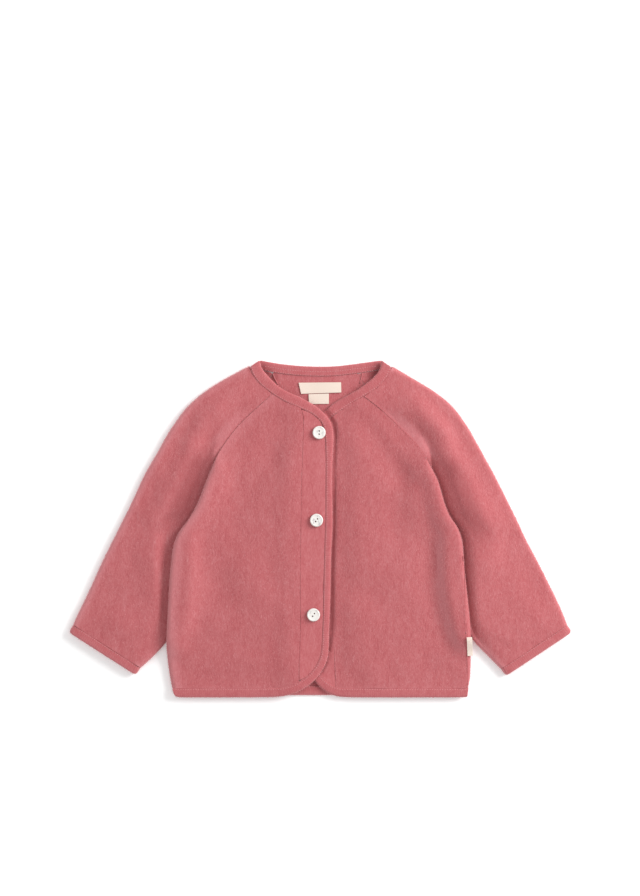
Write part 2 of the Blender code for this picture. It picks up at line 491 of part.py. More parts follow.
def sleeve_grid(side, rows, edge, folds, cuff_line, neck_line, root_line):
    """Middle points of a sleeve: top edge, over the outer fold, to the edge in the layer on the floor."""
    grid = []
    count = len(rows)
    outer_corner, inner_corner, up_sleeve = (np.array(v) for v in cuff_line)
    neck_line = np.array(neck_line)
    root = np.array(root_line)
    low_parts = (0.0, 0.12, 0.30, 0.50, 0.70, 0.88, 1.0)
    for i, (ox, oy, fx, fy, bx, by) in enumerate(rows):
        fold, front, back = np.array([ox, oy]), np.array([fx, fy]), np.array([bx, by])
        if i == 0:
            fold = outer_corner + up_sleeve * (CUFF_WIDTH + GAP * 0.7)
            front = back = inner_corner + up_sleeve * (CUFF_WIDTH + GAP * 0.7)
        elif i == count - 1:
            front = np.array(neck_line[0]) + np.array([0.5, -0.1])
        elif i >= 16:
            front = np.array([along(edge, fy), fy])
        closed = 1.0 - float(smooth(8.0, 10.0, i))
        cuff = 1.0 - float(smooth(0.0, 2.0, i))
        pressed = float(smooth(1.0, 3.0, i)) * (1.0 - float(smooth(17.0, 20.0, i)))
        floor = HALF + 0.5 * cuff
        inner = (ROLL * (1.0 - pressed) + TUCK_ROLL * pressed) if i < 13 else TUCK_ROLL
        edge_z = HALF + 2.0 * inner
        if i > 12:
            ridge = float(along([(y, z) for y, z, _ in RIDGE], fy))
            edge_z = ridge + (5.0 + STAND - ridge) * float(smooth(19.0, 22.0, i))
        edge_z += 0.5 * cuff
        way = (fold - front) / np.linalg.norm(fold - front)
        turn = (math.pi * inner / 2 - GAP / 2) * closed
        most = inner * math.sin(turn / inner)
        inset = HALF * closed
        line = []
        for step in (1.0, 0.6, 0.25):
            reach, fall = roll_point(turn * step, inner)
            spot = front - way * (reach - most - inset)
            line.append((spot[0], spot[1], edge_z - fall))
        start = front + way * (most + inset + (0.0 if i < 10 else 2.4 + GAP))
        low_way = (fold - back) / np.linalg.norm(fold - back)
        outer = ROLL
        crown = fold - way * (outer + HALF)
        length = float(np.linalg.norm(crown - start))
        collar = float(smooth(18.0, 22.0, i))
        top_z = HALF + 2.0 * outer + 0.5 * cuff + 0.3 * collar
        if i == count - 1:
            neck_line[-1] = crown
            neck_run = float(np.linalg.norm(np.diff(neck_line, axis=0), axis=1).sum())
            first = (2.4 + GAP) / neck_run
            collar_points = spaced(neck_line, [first + (1.0 - first) * part for part in SLEEVE_PARTS])
            near_end = np.minimum(1.0, (1.0 - np.array(SLEEVE_PARTS)) * 6.0)
            collar_points += np.array([0.8, -0.6]) * GAP * 0.5 * near_end[:, None]
        width = float(along(VALLEY, fy)) * (1.2 if side < 0 else 1.0)
        if i < 16:
            lip_at = lip_distance(start, way, edge) + 0.6
        else:
            lip_at = float(along([(y, w) for y, _, w in RIDGE], fy)) + 1.0
        rest = length - lip_at - width
        slope = [lip_at + width * step for step in (0.0, 0.14, 0.30, 0.48, 0.72, 1.0)]
        beyond = [length - share * rest for share in (0.70, 0.40, 0.15, 0.0)]
        beside = np.array([0.0, 0.5 * lip_at, *slope, *beyond])
        places = np.array(SLEEVE_PARTS) * length * (1.0 - pressed) + beside * pressed
        swell = along(SWELL, fy) * (SWELL_RIGHT if side < 0 else 1.0)
        swell *= (1.0 - 0.75 * cuff) * (1.0 - 0.8 * float(smooth(20.0, 22.0, i)))
        for k, place in enumerate(places):
            part = place / length
            spot = start + (crown - start) * part
            bend = 2.6 * float(smooth(18.0, 21.0, i)) * 4.0 * part * (1.0 - part)
            spot = spot + np.array([0.8, -0.6]) * bend
            if i == count - 1:
                spot = collar_points[k]
            away = place - lip_at * pressed
            rise = valley_rise(side, away, width)
            base = edge_z
            if i > 15:
                base = edge_z - (edge_z - 5.0) * pressed * float(smooth(-2.4, 2.4, away))
            ending = 1.0 - float(smooth(0.50, 1.0, part))
            puff = swell * rise * ending
            crease = FOLD_DEPTH * folds_at(folds, spot[0], spot[1]) * float(smooth(4.0, 20.0, away))
            crease *= (1.0 - float(smooth(0.75, 1.0, part))) * (1.0 - cuff)
            line.append((spot[0], spot[1], base + (top_z - base) * rise + puff + crease))
        half_way = way + low_way
        half_way /= np.linalg.norm(half_way)
        radius = (top_z - floor) / 2
        for angle in (35.0, 70.0, 110.0, 145.0):
            a = math.radians(angle)
            mix = angle / 180.0
            base = crown * (1.0 - mix) + (fold - low_way * (outer + HALF)) * mix
            spot = base + half_way * outer * math.sin(a)
            line.append((spot[0], spot[1], floor + radius * (1.0 + math.cos(a))))
        low_turn = (math.pi * inner / 2 - GAP / 2) * closed
        low_most = inner * math.sin(low_turn / inner)
        end = back + low_way * (low_most + inset + (0.0 if i < 10 else GAP))
        heel = fold - low_way * (outer + HALF)
        for part in low_parts:
            spot = heel + (end - heel) * part
            if i == count - 1 and part < 0.97:
                limit = float(np.interp(spot[0], root[:, 0], root[:, 1])) - GAP * 1.4
                spot = np.array([spot[0], limit if part > 0.1 else min(spot[1], limit)])
            line.append((spot[0], spot[1], floor))
        for step in (0.25, 0.6, 1.0):
            reach, rise = roll_point(low_turn * step, inner)
            spot = back - low_way * (reach - low_most - inset)
            if closed == 0.0:
                spot = end - low_way * 0.5 * step
            line.append((spot[0], spot[1], floor + rise))
        grid.append(line)
    grid = np.array(grid)
    for i in range(grid.shape[0]):
        if i >= 10:
            way = grid[i, 3, :2] - grid[i, 4, :2]
            way = way / np.linalg.norm(way)
            for j, back_off in ((2, 0.25), (1, 0.6), (0, 1.0)):
                grid[i, j, :2] = grid[i, 3, :2] + way * back_off * 2.4
                grid[i, j, 2] = grid[i, 3, 2]
    grid[:, :, 0] *= side
    return grid


def strip_grid(inner_rows, outer_rows, level, bottom, top):
    """A button strip between two lines given as Y, X."""
    grid = []
    for part in [0.0, 0.012, 0.025, 0.042, 0.062, 0.085, *np.linspace(0.115, 0.958, 20), 0.9726, 1.0]:
        y_in = bottom[0] + (top[0] - bottom[0]) * part
        y_out = bottom[1] + (top[1] - bottom[1]) * part
        x_in, x_out = along(inner_rows, y_in), along(outer_rows, y_out)
        line = []
        for across in (0.0, 0.33, 0.67, 1.0):
            x, y = x_in + (x_out - x_in) * across, y_in + (y_out - y_in) * across
            line.append((x, y, float(level(x, y))))
        grid.append(line)
    return np.array(grid)


def neck_back_line():
    """Upper and lower line of the back neck's binding, which leans out towards the shoulders."""
    upper, lower = [], []
    for x in np.linspace(-60.0, 60.0, 15):
        lean = np.sign(x) * float(smooth(40.0, 60.0, abs(x))) * 0.75
        way = np.array([lean, -1.0]) / math.hypot(lean, 1.0)
        top = np.array([x, along(NECK_BACK, x)])
        upper.append(top)
        lower.append(top + way * (NECK_BACK_WIDTH - GAP / 2))
    return upper, lower


def front_binding(name, side, corner, rows, hem_end, level, slot):
    cx, cy, oa, ob, ia, ib = corner
    inner, outer = [], []
    straight = np.linspace(hem_end - 7.0, side * cx, 6)
    inner.append((side * hem_end, HEM_FRONT[0]))
    outer.append((side * (hem_end - 1.2), HEM_FRONT[1] + 0.5))
    for x in straight[:-1]:
        inner.append((side * x, HEM_FRONT[0]))
        outer.append((side * x, HEM_FRONT[1]))
    for step in np.linspace(0.0, 1.0, 10)[:-1]:
        a = step * math.pi / 2
        inner.append((cx - side * ia * math.sin(a), cy - ib * math.cos(a)))
        outer.append((cx - side * oa * math.sin(a), cy - ob * math.cos(a)))
    for ox, oy, ix, iy in rows:
        inner.append((ix, iy))
        outer.append((ox, oy))
    starts, ends, ups = [], [], []
    for (ix, iy), (ox, oy) in zip(inner, outer):
        way = np.array([ox - ix, oy - iy])
        way /= np.linalg.norm(way)
        ix, iy = ix + way[0] * GAP / 2, iy + way[1] * GAP / 2
        starts.append(np.array([ix, iy, float(level(ix, iy))]))
        ends.append(np.array([ox, oy, float(level(ox * 0.7 + ix * 0.3, oy * 0.7 + iy * 0.3))]))
        ups.append(np.array([0.0, 0.0, 1.0]))
    return add_bar(name, starts, ends, ups, slot)


def cuff_binding(name, side, cuff, slot):
    outer_corner, inner_corner, way = (np.array(v) for v in cuff)
    across = outer_corner - inner_corner
    width = np.linalg.norm(across)
    across /= width
    half = BIND / 2
    low, high = half, half + 2.0 * (ROLL - 0.1)
    radius = (high - low) / 2
    reach = radius + half
    places = []
    for part in np.linspace(0.0, 1.0, 6):
        places.append((reach + (width - 2 * reach) * part, high, (0.0, 1.0)))
    for angle in (45.0, 90.0, 135.0):
        a = math.radians(angle)
        rise = low + radius * (1 + math.cos(a))
        places.append((width - reach + radius * math.sin(a), rise, (math.sin(a), math.cos(a))))
    for part in np.linspace(1.0, 0.0, 6):
        places.append((reach + (width - 2 * reach) * part, low, (0.0, -1.0)))
    for angle in (225.0, 270.0, 315.0):
        a = math.radians(angle)
        rise = low + radius * (1 + math.cos(a))
        places.append((reach + radius * math.sin(a), rise, (math.sin(a), math.cos(a))))
    inner, outer, up = [], [], []
    for s, z, (n_across, n_up) in places:
        trim = 0.5 if abs(n_across) > 0.9 else 0.0
        mouth = inner_corner + across * s
        edge = mouth + way * trim
        root = mouth + way * (CUFF_WIDTH - GAP / 2)
        inner.append(np.array([side * root[0], root[1], z]))
        outer.append(np.array([side * edge[0], edge[1], z]))
        up.append(np.array([side * across[0] * n_across, across[1] * n_across, n_up]))
    return add_bar(name, inner, outer, up, slot, closed=True)


def ring(x, y, radius, count):
    """Points of a circle in plan."""
    turns = [2.0 * math.pi * k / count for k in range(count)]
    return [(x + radius * math.cos(t), y + radius * math.sin(t)) for t in turns]


def button_top(radius):
    """Height of a button's upper face at a distance from its centre."""
    if radius > BUTTON_D / 2 - 0.1:
        return BUTTON_T - 0.7
    if radius > BUTTON_D / 2 - 1.2:
        return BUTTON_T
    return BUTTON_T - 0.5


def add_button(name, x, y, turn, z, slot):
    """Turned shell disc with a raised rim, a shallow dish and two holes."""
    a = math.radians(turn)
    reach = (HOLE_PITCH / 2 * math.cos(a), HOLE_PITCH / 2 * math.sin(a))
    holes = [(-reach[0], -reach[1]), reach]
    rings = [ring(0.0, 0.0, BUTTON_D / 2, 24), ring(0.0, 0.0, BUTTON_D / 2 - 0.9, 24),
             ring(0.0, 0.0, BUTTON_D / 2 - 2.2, 18)]
    rings += [ring(hx, hy, HOLE_D / 2, 10) for hx, hy in holes]
    flat, edges = [], []
    for loop in rings:
        first, size = len(flat), len(loop)
        flat += loop
        edges += [(first + k, first + (k + 1) % size) for k in range(size)]
    spots, _, cells, _, _, _ = delaunay_2d_cdt([Vector(p) for p in flat], edges, [], 1, 0.0001)
    kept = []
    for cell in cells:
        mx = sum(spots[k][0] for k in cell) / len(cell)
        my = sum(spots[k][1] for k in cell) / len(cell)
        if all(math.hypot(mx - hx, my - hy) > HOLE_D / 2 * 0.93 for hx, hy in holes):
            kept.append(tuple(cell))
    points = [(x + p[0], y + p[1], z + button_top(p.length)) for p in spots]
    points += [(x + p[0], y + p[1], z + (0.6 if p.length > BUTTON_D / 2 - 0.1 else 0.0)) for p in spots]
    shift = len(spots)
    faces = kept + [tuple(k + shift for k in cell[::-1]) for cell in kept]
    directed = {(cell[k], cell[(k + 1) % 3]) for cell in kept for k in range(3)}
    for start, end in directed:
        if (end, start) not in directed:
            faces += [(end, start, start + shift), (end, start + shift, end + shift)]
    return add_solid(name, points, faces, slot)


def tape_grid(corners, level, rows, cols):
    """A woven tape between four plan corners: top left, top right, bottom right, bottom left."""
    tl, tr, br, bl = (np.array(c, float) for c in corners)
    grid = []
    for i in np.linspace(0.0, 1.0, rows):
        line = []
        for j in np.linspace(0.0, 1.0, cols):
            spot = (bl * (1 - j) + br * j) * (1 - i) + (tl * (1 - j) + tr * j) * i
            line.append((spot[0], spot[1], level(spot[0], spot[1])))
        grid.append(line)
    return np.array(grid)


for old in list(bpy.data.objects):
    bpy.data.objects.remove(old, do_unlink=True)

jacket = bpy.data.collections.new("baby_fleece_jacket")
bpy.context.scene.collection.children.link(jacket)

fleece = material("fleece", (0.52, 0.13, 0.14), 0.95)
fleece_strip = material("fleece_strip", (0.55, 0.15, 0.16), 0.95)
fleece_binding = material("fleece_binding", (0.53, 0.14, 0.155), 0.93)
woven = material("woven_label", (0.86, 0.71, 0.60), 0.80)
shell = material("shell", (0.88, 0.86, 0.84), 0.22)

add_sheet("back", back_grid(), CLOTH, fleece)
neck_right = [(ix, iy) for _, _, ix, iy in BINDING_RIGHT if iy > 110.0]
neck_left = [(ix, iy) for _, _, ix, iy in BINDING_LEFT if iy > 110.0]
right = front_grid(-1, ROWS_RIGHT, EDGE_RIGHT, STRIP_RIGHT, neck_right, CORNER_RIGHT, right_level)
left = front_grid(1, ROWS_LEFT, EDGE_LEFT, STRIP_LEFT, neck_left, CORNER_LEFT, left_level)
add_sheet("front_right", right, CLOTH, fleece)
add_sheet("front_left", left, CLOTH, fleece)

line_right = [(iy, ix) for _, _, ix, iy in BINDING_RIGHT if iy < 117.5]
cx, cy, _, _, ca, cb = CORNER_RIGHT
arc_right = [(cy - cb * math.cos(a), cx + ca * math.sin(a)) for a in np.linspace(0.5, 1.45, 8)]
line_right = [(y, x - GAP / 2) for y, x in line_right + arc_right]
seam_right = [(y, x + GAP / 2) for y, x in STRIP_RIGHT]
grid = strip_grid(seam_right, line_right, right_level, (-151.0, -149.0), (119.4, 116.7))
add_sheet("placket_right", grid, CLOTH, fleece_strip)

line_left = [(iy, ix) for _, _, ix, iy in BINDING_LEFT if iy < 116.0]
cx, cy, _, _, ca, cb = CORNER_LEFT
arc_left = [(cy - cb * math.cos(a), cx - ca * math.sin(a)) for a in np.linspace(0.3, 1.3, 8)]
line_left = [(y, x + GAP / 2) for y, x in line_left + arc_left]
seam_left = [(y, x - GAP / 2) for y, x in STRIP_LEFT]
grid = strip_grid(seam_left, line_left, left_level, (-157.0, -155.6), (115.9, 108.0))
add_sheet("placket_left", grid, CLOTH, fleece_strip)

neck_upper, neck_lower = neck_back_line()
for side, name, rows, edge, folds, cuff, binding in (
    (-1, "sleeve_right", SLEEVE_RIGHT, EDGE_RIGHT, SLEEVE_FOLDS_RIGHT, CUFF_RIGHT, BINDING_RIGHT),
    (1, "sleeve_left", SLEEVE_LEFT, EDGE_LEFT, SLEEVE_FOLDS_LEFT, CUFF_LEFT, BINDING_LEFT),
):
    collar = [np.array([side * edge[-1][1], edge[-1][0]])]
    collar += [np.array([ix, iy - 0.1]) for _, _, ix, iy in binding if iy > edge[-1][0] + 1.5]
    neck_line = [np.array([side * x, y]) for x, y in collar]
    root_line = sorted((side * p[0], p[1]) for p in neck_lower)
    add_sheet(name, sleeve_grid(side, rows, edge, folds, cuff, neck_line, root_line), CLOTH, fleece)

for name, side, corner, binding, hem_end, level in (
    ("binding_front_right", -1, CORNER_RIGHT, BINDING_RIGHT, HEM_END_RIGHT, right_level),
    ("binding_front_left", 1, CORNER_LEFT, BINDING_LEFT, HEM_END_LEFT, left_level),
):
    front_binding(name, side, corner, binding, hem_end, level, fleece_binding)
cuff_binding("binding_cuff_right", -1, CUFF_RIGHT, fleece_binding)
cuff_binding("binding_cuff_left", 1, CUFF_LEFT, fleece_binding)

xs = np.linspace(-147.0, 146.6, 17)
hem_in = [np.array([x, HEM_BACK[0] - GAP / 2, BIND / 2]) for x in xs]
hem_out = [np.array([x, HEM_BACK[1], BIND / 2]) for x in xs]
add_bar("binding_hem_back", hem_in, hem_out, [np.array([0.0, 0.0, 1.0])] * len(xs), fleece_binding)

neck_out = [np.array([p[0], p[1], BIND / 2]) for p in neck_upper]
neck_in = [np.array([p[0], p[1], BIND / 2]) for p in neck_lower]
add_bar("binding_neck_back", neck_in, neck_out, [np.array([0.0, 0.0, 1.0])] * 15, fleece_binding)

for name, x, y, turn in BUTTONS:
    z = float(right_level(x, y)) + BIND / 2 + GAP + 0.15
    add_button(name, x, y, turn, z, shell)

inside = CLOTH + GAP + TAPE / 2
add_sheet("label_neck", tape_grid([(-22.0, 146.4), (20.6, 146.8), (20.8, 136.6), (-19.5, 135.2)],
                                  lambda x, y: inside + 0.25 * math.sin(x / 7.0) + 0.25, 3, 9), TAPE, woven)
add_sheet("label_size", tape_grid([(-12.0, 134.9), (8.4, 135.6), (8.4, 125.2), (-11.6, 125.0)],
                                  lambda x, y: inside, 3, 4), TAPE, woven)


def on_side(x, y):
    return float(lip_level(1, 147.5, y)) + HALF + GAP + TAPE / 2 + 0.9


add_sheet("label_side", tape_grid([(145.4, -107.4), (150.8, -107.0), (152.2, -126.2), (146.8, -126.7)],
                                  on_side, 7, 3), TAPE, woven)
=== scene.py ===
"""Baby jacket of brushed wool fleece, buttoned up and laid flat on a white table, seen from straight above."""
import math

import bmesh
import bpy
import numpy as np
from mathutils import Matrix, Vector, noise
from mathutils.bvhtree import BVHTree
from mathutils.kdtree import KDTree


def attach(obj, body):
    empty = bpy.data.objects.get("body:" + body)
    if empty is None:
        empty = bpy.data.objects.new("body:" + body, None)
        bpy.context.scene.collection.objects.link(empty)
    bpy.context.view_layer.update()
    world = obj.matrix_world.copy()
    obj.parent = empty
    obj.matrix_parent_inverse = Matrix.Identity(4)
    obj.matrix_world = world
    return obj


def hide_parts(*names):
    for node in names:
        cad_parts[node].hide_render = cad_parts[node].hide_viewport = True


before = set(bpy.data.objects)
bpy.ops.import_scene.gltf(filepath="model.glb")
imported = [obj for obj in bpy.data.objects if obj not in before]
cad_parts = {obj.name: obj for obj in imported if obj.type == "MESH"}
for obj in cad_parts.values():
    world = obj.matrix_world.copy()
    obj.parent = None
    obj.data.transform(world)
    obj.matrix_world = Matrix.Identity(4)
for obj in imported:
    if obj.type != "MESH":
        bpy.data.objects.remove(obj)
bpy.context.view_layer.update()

# ---------------------------------------------------------------------------------------------------------------------
# Back panel. One piece of brushed wool fleece from the hem to the back neck, 2.2 mm thick. Its inner face shows in the
# neck opening, and its left edge wraps over on to the top at the side seam.

MM = 0.001
FLEECE = (0.474, 0.128, 0.137)
FLEECE_DEEP = (0.402, 0.088, 0.098)
FLEECE_LIGHT = (0.580, 0.226, 0.238)
# Colours of painted light and shade, mixed in by the attribute tone: a pale painted highlight and a dark painted
# shade.
FLEECE_PAINTED_HIGHLIGHT = (0.70, 0.29, 0.31)
FLEECE_PAINTED_SHADE = (0.25, 0.055, 0.060)
WELD = 0.00002
SHARP_EDGE = math.radians(52.0)
LYING_ON_TABLE = 0.0025


class Thread:
    """One socket of a material, so that its maths reads as ordinary sums."""

    def __init__(self, tree, socket):
        self.tree = tree
        self.socket = socket

    def node(self, kind, settings=None, **inputs):
        """Adds a node: its type, its settings and the output to take, then its inputs by name or as i0, i1."""
        made = self.tree.nodes.new(kind)
        settings = dict(settings or {})
        take = settings.pop("take", 0)
        for key, value in settings.items():
            if key == "stops":
                ramp = made.color_ramp
                while len(ramp.elements) < len(value):
                    ramp.elements.new(0.5)
                for element, (place, colour) in zip(ramp.elements, value):
                    element.position = place
                    element.color = (*colour, 1.0) if isinstance(colour, tuple) else (colour, colour, colour, 1.0)
            else:
                setattr(made, key, value)
        for key, value in inputs.items():
            by_place = key[0] == "i" and key[1:].isdigit()
            target = made.inputs[int(key[1:]) if by_place else key.replace("_", " ")]
            if isinstance(value, Thread):
                self.tree.links.new(value.socket, target)
            else:
                target.default_value = value
        return Thread(self.tree, made.outputs[take])

    def maths(self, operation, other, swap=False):
        first, second = (other, self) if swap else (self, other)
        return self.node("ShaderNodeMath", {"operation": operation}, i0=first, i1=second)

    def __add__(self, other):
        return self.maths("ADD", other)

    def __mul__(self, other):
        return self.maths("MULTIPLY", other)

    def __sub__(self, other):
        return self.maths("SUBTRACT", other)

    def __rsub__(self, other):
        return self.maths("SUBTRACT", other, swap=True)

    __radd__ = __add__
    __rmul__ = __mul__

    def lead(self, shader, socket):
        self.tree.links.new(self.socket, shader.inputs[socket])

    def stretched(self, scale, turn=0.0):
        return self.node("ShaderNodeMapping", None, i0=self, i2=(0.0, 0.0, turn), i3=scale)

    def cloud(self, scale, detail=2.0, rough=0.5, twist=0.0):
        return self.node("ShaderNodeTexNoise", {"noise_dimensions": "3D"}, Vector=self, Scale=scale, Detail=detail,
                         Roughness=rough, Distortion=twist)

    def ramp(self, *stops):
        return self.node("ShaderNodeValToRGB", {"stops": stops}, Fac=self)

    def mixed(self, other, share):
        made = self.tree.nodes.new("ShaderNodeMix")
        made.data_type = "RGBA"
        for socket, value in ((made.inputs[0], share), (made.inputs[6], self), (made.inputs[7], other)):
            if isinstance(value, Thread):
                self.tree.links.new(value.socket, socket)
            else:
                socket.default_value = (*value, 1.0) if isinstance(value, tuple) else value
        return Thread(self.tree, made.outputs[2])


def new_finish(name):
    """A material with its shader, and the place of each point of the piece."""
    made = bpy.data.materials.new(name)
    made.use_nodes = True
    shader = made.node_tree.nodes["Principled BSDF"]
    place = made.node_tree.nodes.new("ShaderNodeTexCoord")
    return made, shader, Thread(made.node_tree, place.outputs["Object"])


def brushed_fleece(name, turn=0.0, tone=0.0, pile=1.0):
    """Felted wool brushed into a low pile: fine streaks down the cloth, small curls, pale hairs and dark pits.

    The attribute tone paints light and shade into the colour: above zero a paler painted highlight, below zero a
    darker painted shade.
    """
    made, shader, place = new_finish(name)
    grain = place.stretched((1.0, 0.34, 1.0), turn)
    streak = grain.cloud(900.0, 2.0, 0.6, 0.6)
    curl = grain.cloud(430.0, 2.0, 0.6, 2.2)
    patch = grain.cloud(150.0, 2.0, 0.5, 0.8)
    broad = place.cloud(16.0, 1.0, 0.5)
    deep, middle, light = (tuple(c * (1.0 + tone) for c in dye) for dye in (FLEECE_DEEP, FLEECE, FLEECE_LIGHT))
    half_light = tuple(0.55 * m + 0.45 * g for m, g in zip(middle, light))
    mingled = streak * 0.26 + curl * 0.44 + patch * 0.22 + broad * 0.08
    wool = mingled.ramp((0.34, deep), (0.50, middle), (0.66, half_light))
    hair = grain.cloud(620.0, 1.0, 0.4, 2.6).ramp((0.62, 0.0), (0.70, 0.55 * pile))
    pit = grain.cloud(540.0, 1.0, 0.4, 1.2).ramp((0.30, 0.45 * pile), (0.38, 0.0))
    wool = wool.mixed(light, hair).mixed(deep, pit)
    painted_tone = place.node("ShaderNodeAttribute", {"attribute_name": "tone", "take": "Fac"})
    # Painted highlight where the tone is above zero, painted shade where it is below.
    wool = wool.mixed(FLEECE_PAINTED_HIGHLIGHT, painted_tone.ramp((0.0, 0.0), (1.0, 1.0)))
    wool = wool.mixed(FLEECE_PAINTED_SHADE, (painted_tone * -1.0).ramp((0.0, 0.0), (1.0, 1.0)))
    shader.inputs["Roughness"].default_value = 0.95
    shader.inputs["Sheen Weight"].default_value = 0.6
    shader.inputs["Sheen Roughness"].default_value = 0.45
    shader.inputs["Sheen Tint"].default_value = (1.0, 0.72, 0.72, 1.0)
    shader.inputs["Specular IOR Level"].default_value = 0.15
    height = streak * 0.35 + curl * 0.60 + patch * 0.20
    bump = wool.node("ShaderNodeBump", None, Strength=0.55 * pile, Distance=0.0009, Height=height)
    wool.lead(shader, "Base Color")
    bump.lead(shader, "Normal")
    return made


def cut_piece(name, node, rim=0.45, levels=2, fluff=0.13):
    """A piece on the form of its solid: rims rounded and surface raised, in millimetres, then made smooth and fine."""
    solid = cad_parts[node]
    piece = solid.copy()
    piece.data = solid.data.copy()
    piece.name = piece.data.name = name
    piece.parent = None
    for key in list(piece.keys()):
        del piece[key]
    bpy.context.scene.collection.objects.link(piece)
    cloth = bmesh.new()
    cloth.from_mesh(piece.data)
    bmesh.ops.remove_doubles(cloth, verts=cloth.verts, dist=WELD)
    bmesh.ops.join_triangles(cloth, faces=cloth.faces, angle_face_threshold=0.7, angle_shape_threshold=1.2)
    sharp = [edge for edge in cloth.edges if len(edge.link_faces) == 2 and edge.calc_face_angle(0.0) > SHARP_EDGE]
    bmesh.ops.bevel(cloth, geom=sharp, offset=rim * MM, segments=2, profile=0.5, affect="EDGES", clamp_overlap=True)
    cloth.normal_update()
    for point in cloth.verts:
        point.co += point.normal * (fluff * MM)
        point.co.z = max(point.co.z, 0.0)
    cloth.to_mesh(piece.data)
    cloth.free()
    bpy.ops.object.select_all(action="DESELECT")
    piece.select_set(True)
    bpy.context.view_layer.objects.active = piece
    fine = piece.modifiers.new("fine", "SUBSURF")
    fine.levels = fine.render_levels = levels
    bpy.ops.object.modifier_apply(modifier=fine.name)
    piece.data.materials.clear()
    bpy.ops.object.shade_smooth()
    return piece


def laid_points(piece):
    """Where the points of a piece lie, and which way its surface faces there."""
    count = len(piece.data.vertices)
    spots, facing = np.empty(count * 3), np.empty(count * 3)
    piece.data.vertices.foreach_get("co", spots)
    piece.data.vertex_normals.foreach_get("vector", facing)
    return spots.reshape(-1, 3), facing.reshape(-1, 3)


def lay(piece, spots):
    """Puts the points of a piece at new places."""
    piece.data.vertices.foreach_set("co", spots.ravel())
    piece.data.update()


def slacken(piece, height, span, seed):
    """Lets the cloth lie a little unevenly: soft hollows and swells along its own surface, less at its rims."""
    spots, facing = laid_points(piece)
    shift = Vector((seed * 3.7, seed * 1.3, 0.0))
    moves = np.array([noise.noise(Vector(p) / span + shift) + 0.5 * noise.noise(Vector(p) / (span * 0.4) + shift)
                      for p in spots])
    spots[:, 2] += moves * height * np.clip(facing[:, 2], 0.0, 1.0) * (spots[:, 2] > LYING_ON_TABLE)
    lay(piece, spots)


def paint_shade_and_light(piece, shade, most=0.5, least=-0.62):
    """Adds to a piece's tone, which paints light and shade into its colour: above zero a paler painted highlight,
    below zero a darker painted shade.
    """
    layer = piece.data.attributes.get("tone") or piece.data.attributes.new("tone", "FLOAT", "POINT")
    tone = np.empty(len(layer.data))
    layer.data.foreach_get("value", tone)
    layer.data.foreach_set("value", np.clip(tone + shade, least, most))


def dressed(piece, finish, slot, *nodes):
    """Gives a piece its material, hangs it under the root body, and hides the parts of the model that it stands for.
    """
    piece.data.materials.append(finish)
    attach(piece, "root")
    if nodes:
        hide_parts(*nodes)
    return piece


body_fleece = brushed_fleece("brushed_fleece")
back = cut_piece("back_panel", "back")
dressed(back, body_fleece, "fleece", "back")

# ---------------------------------------------------------------------------------------------------------------------
# Sleeves. Each raglan sleeve is one piece folded round at its outer side and closed by the underarm seam. It lies flat
# under the side of the body. The pile runs down the arm.

# The side of the body, which lies over the sleeve. Columns: Y, distance from the middle, in millimetres.
BODY_SIDE = {
    "right": [(-159.0, 148.2), (-122.0, 153.5), (-69.0, 151.5), (-16.0, 147.0), (-4.4, 142.4), (18.8, 125.9),
              (48.3, 114.2), (70.4, 104.2), (92.0, 91.5), (104.8, 81.2), (119.0, 66.0), (134.8, 48.1)],
    "left": [(-159.0, 147.8), (-127.6, 150.2), (-90.0, 149.2), (-52.0, 144.9), (-17.1, 142.0), (-0.1, 138.0),
             (15.1, 127.6), (36.5, 121.0), (61.4, 110.9), (87.0, 93.0), (106.1, 74.6), (117.0, 63.2), (132.5, 43.5)],
}
# Light and shade painted into the pile: painted shade in the hollow beside the body, and a painted highlight on the
# swell above it. Columns: distance from the body's side and Y, each where it starts, is full, is still full and ends,
# and the strength. On the left sleeve a painted highlight also lies along the foot of the body's fold.
PAINTED_HOLLOW_SHADE = {"right": ((5.0, 9.0, 19.0, 30.0), (-8.0, 14.0, 68.0, 86.0), 0.55),
           "left": ((10.0, 15.0, 27.0, 38.0), (-25.0, 0.0, 62.0, 80.0), 0.45)}
PAINTED_SWELL_HIGHLIGHT = {"right": ((0.5, 3.0, 12.0, 18.0), (67.0, 76.0, 110.0, 122.0), 0.22),
          "left": ((0.5, 3.0, 12.0, 18.0), (67.0, 76.0, 110.0, 122.0), 0.28)}
LEFT_FOOT_PAINTED_HIGHLIGHT = ((1.5, 4.0), (-130.0, -110.0, 60.0, 70.0), 0.24)


def beside_body(piece, name):
    """How far out from the side of the body each point lies, and its Y, in millimetres."""
    spots, _ = laid_points(piece)
    line = np.array(BODY_SIDE[name])
    along = spots[:, 1] / MM
    return np.abs(spots[:, 0]) / MM - np.interp(along, line[:, 0], line[:, 1]), along


def band(values, edges):
    """One between the two inner edges, falling to nothing at the outer two."""
    return np.interp(values, edges, (0.0, 1.0, 1.0, 0.0))


for side, name in ((-1, "right"), (1, "left")):
    sleeve = cut_piece(f"sleeve_{name}_cloth", f"sleeve_{name}")
    slacken(sleeve, 0.0007, 0.030, 2.0 + side)
    out, along = beside_body(sleeve, name)
    # Painted shade in the hollow, painted highlight on the swell.
    for (across, down, strength), way in ((PAINTED_HOLLOW_SHADE[name], -1.0), (PAINTED_SWELL_HIGHLIGHT[name], 1.0)):
        paint_shade_and_light(sleeve, way * strength * band(out, across) * band(along, down))
    if name == "left":
        across, down, strength = LEFT_FOOT_PAINTED_HIGHLIGHT
        paint_shade_and_light(sleeve, strength * np.interp(out, across, (1.0, 0.0)) * band(along, down))
    dressed(sleeve, brushed_fleece(f"brushed_fleece_sleeve_{name}", side * 0.42, 0.02), "fleece", f"sleeve_{name}")

# ---------------------------------------------------------------------------------------------------------------------
# Fronts. Two panels of the same fleece. Each rolls down at its side on to the sleeve, and meets the sleeve along the
# raglan seam.

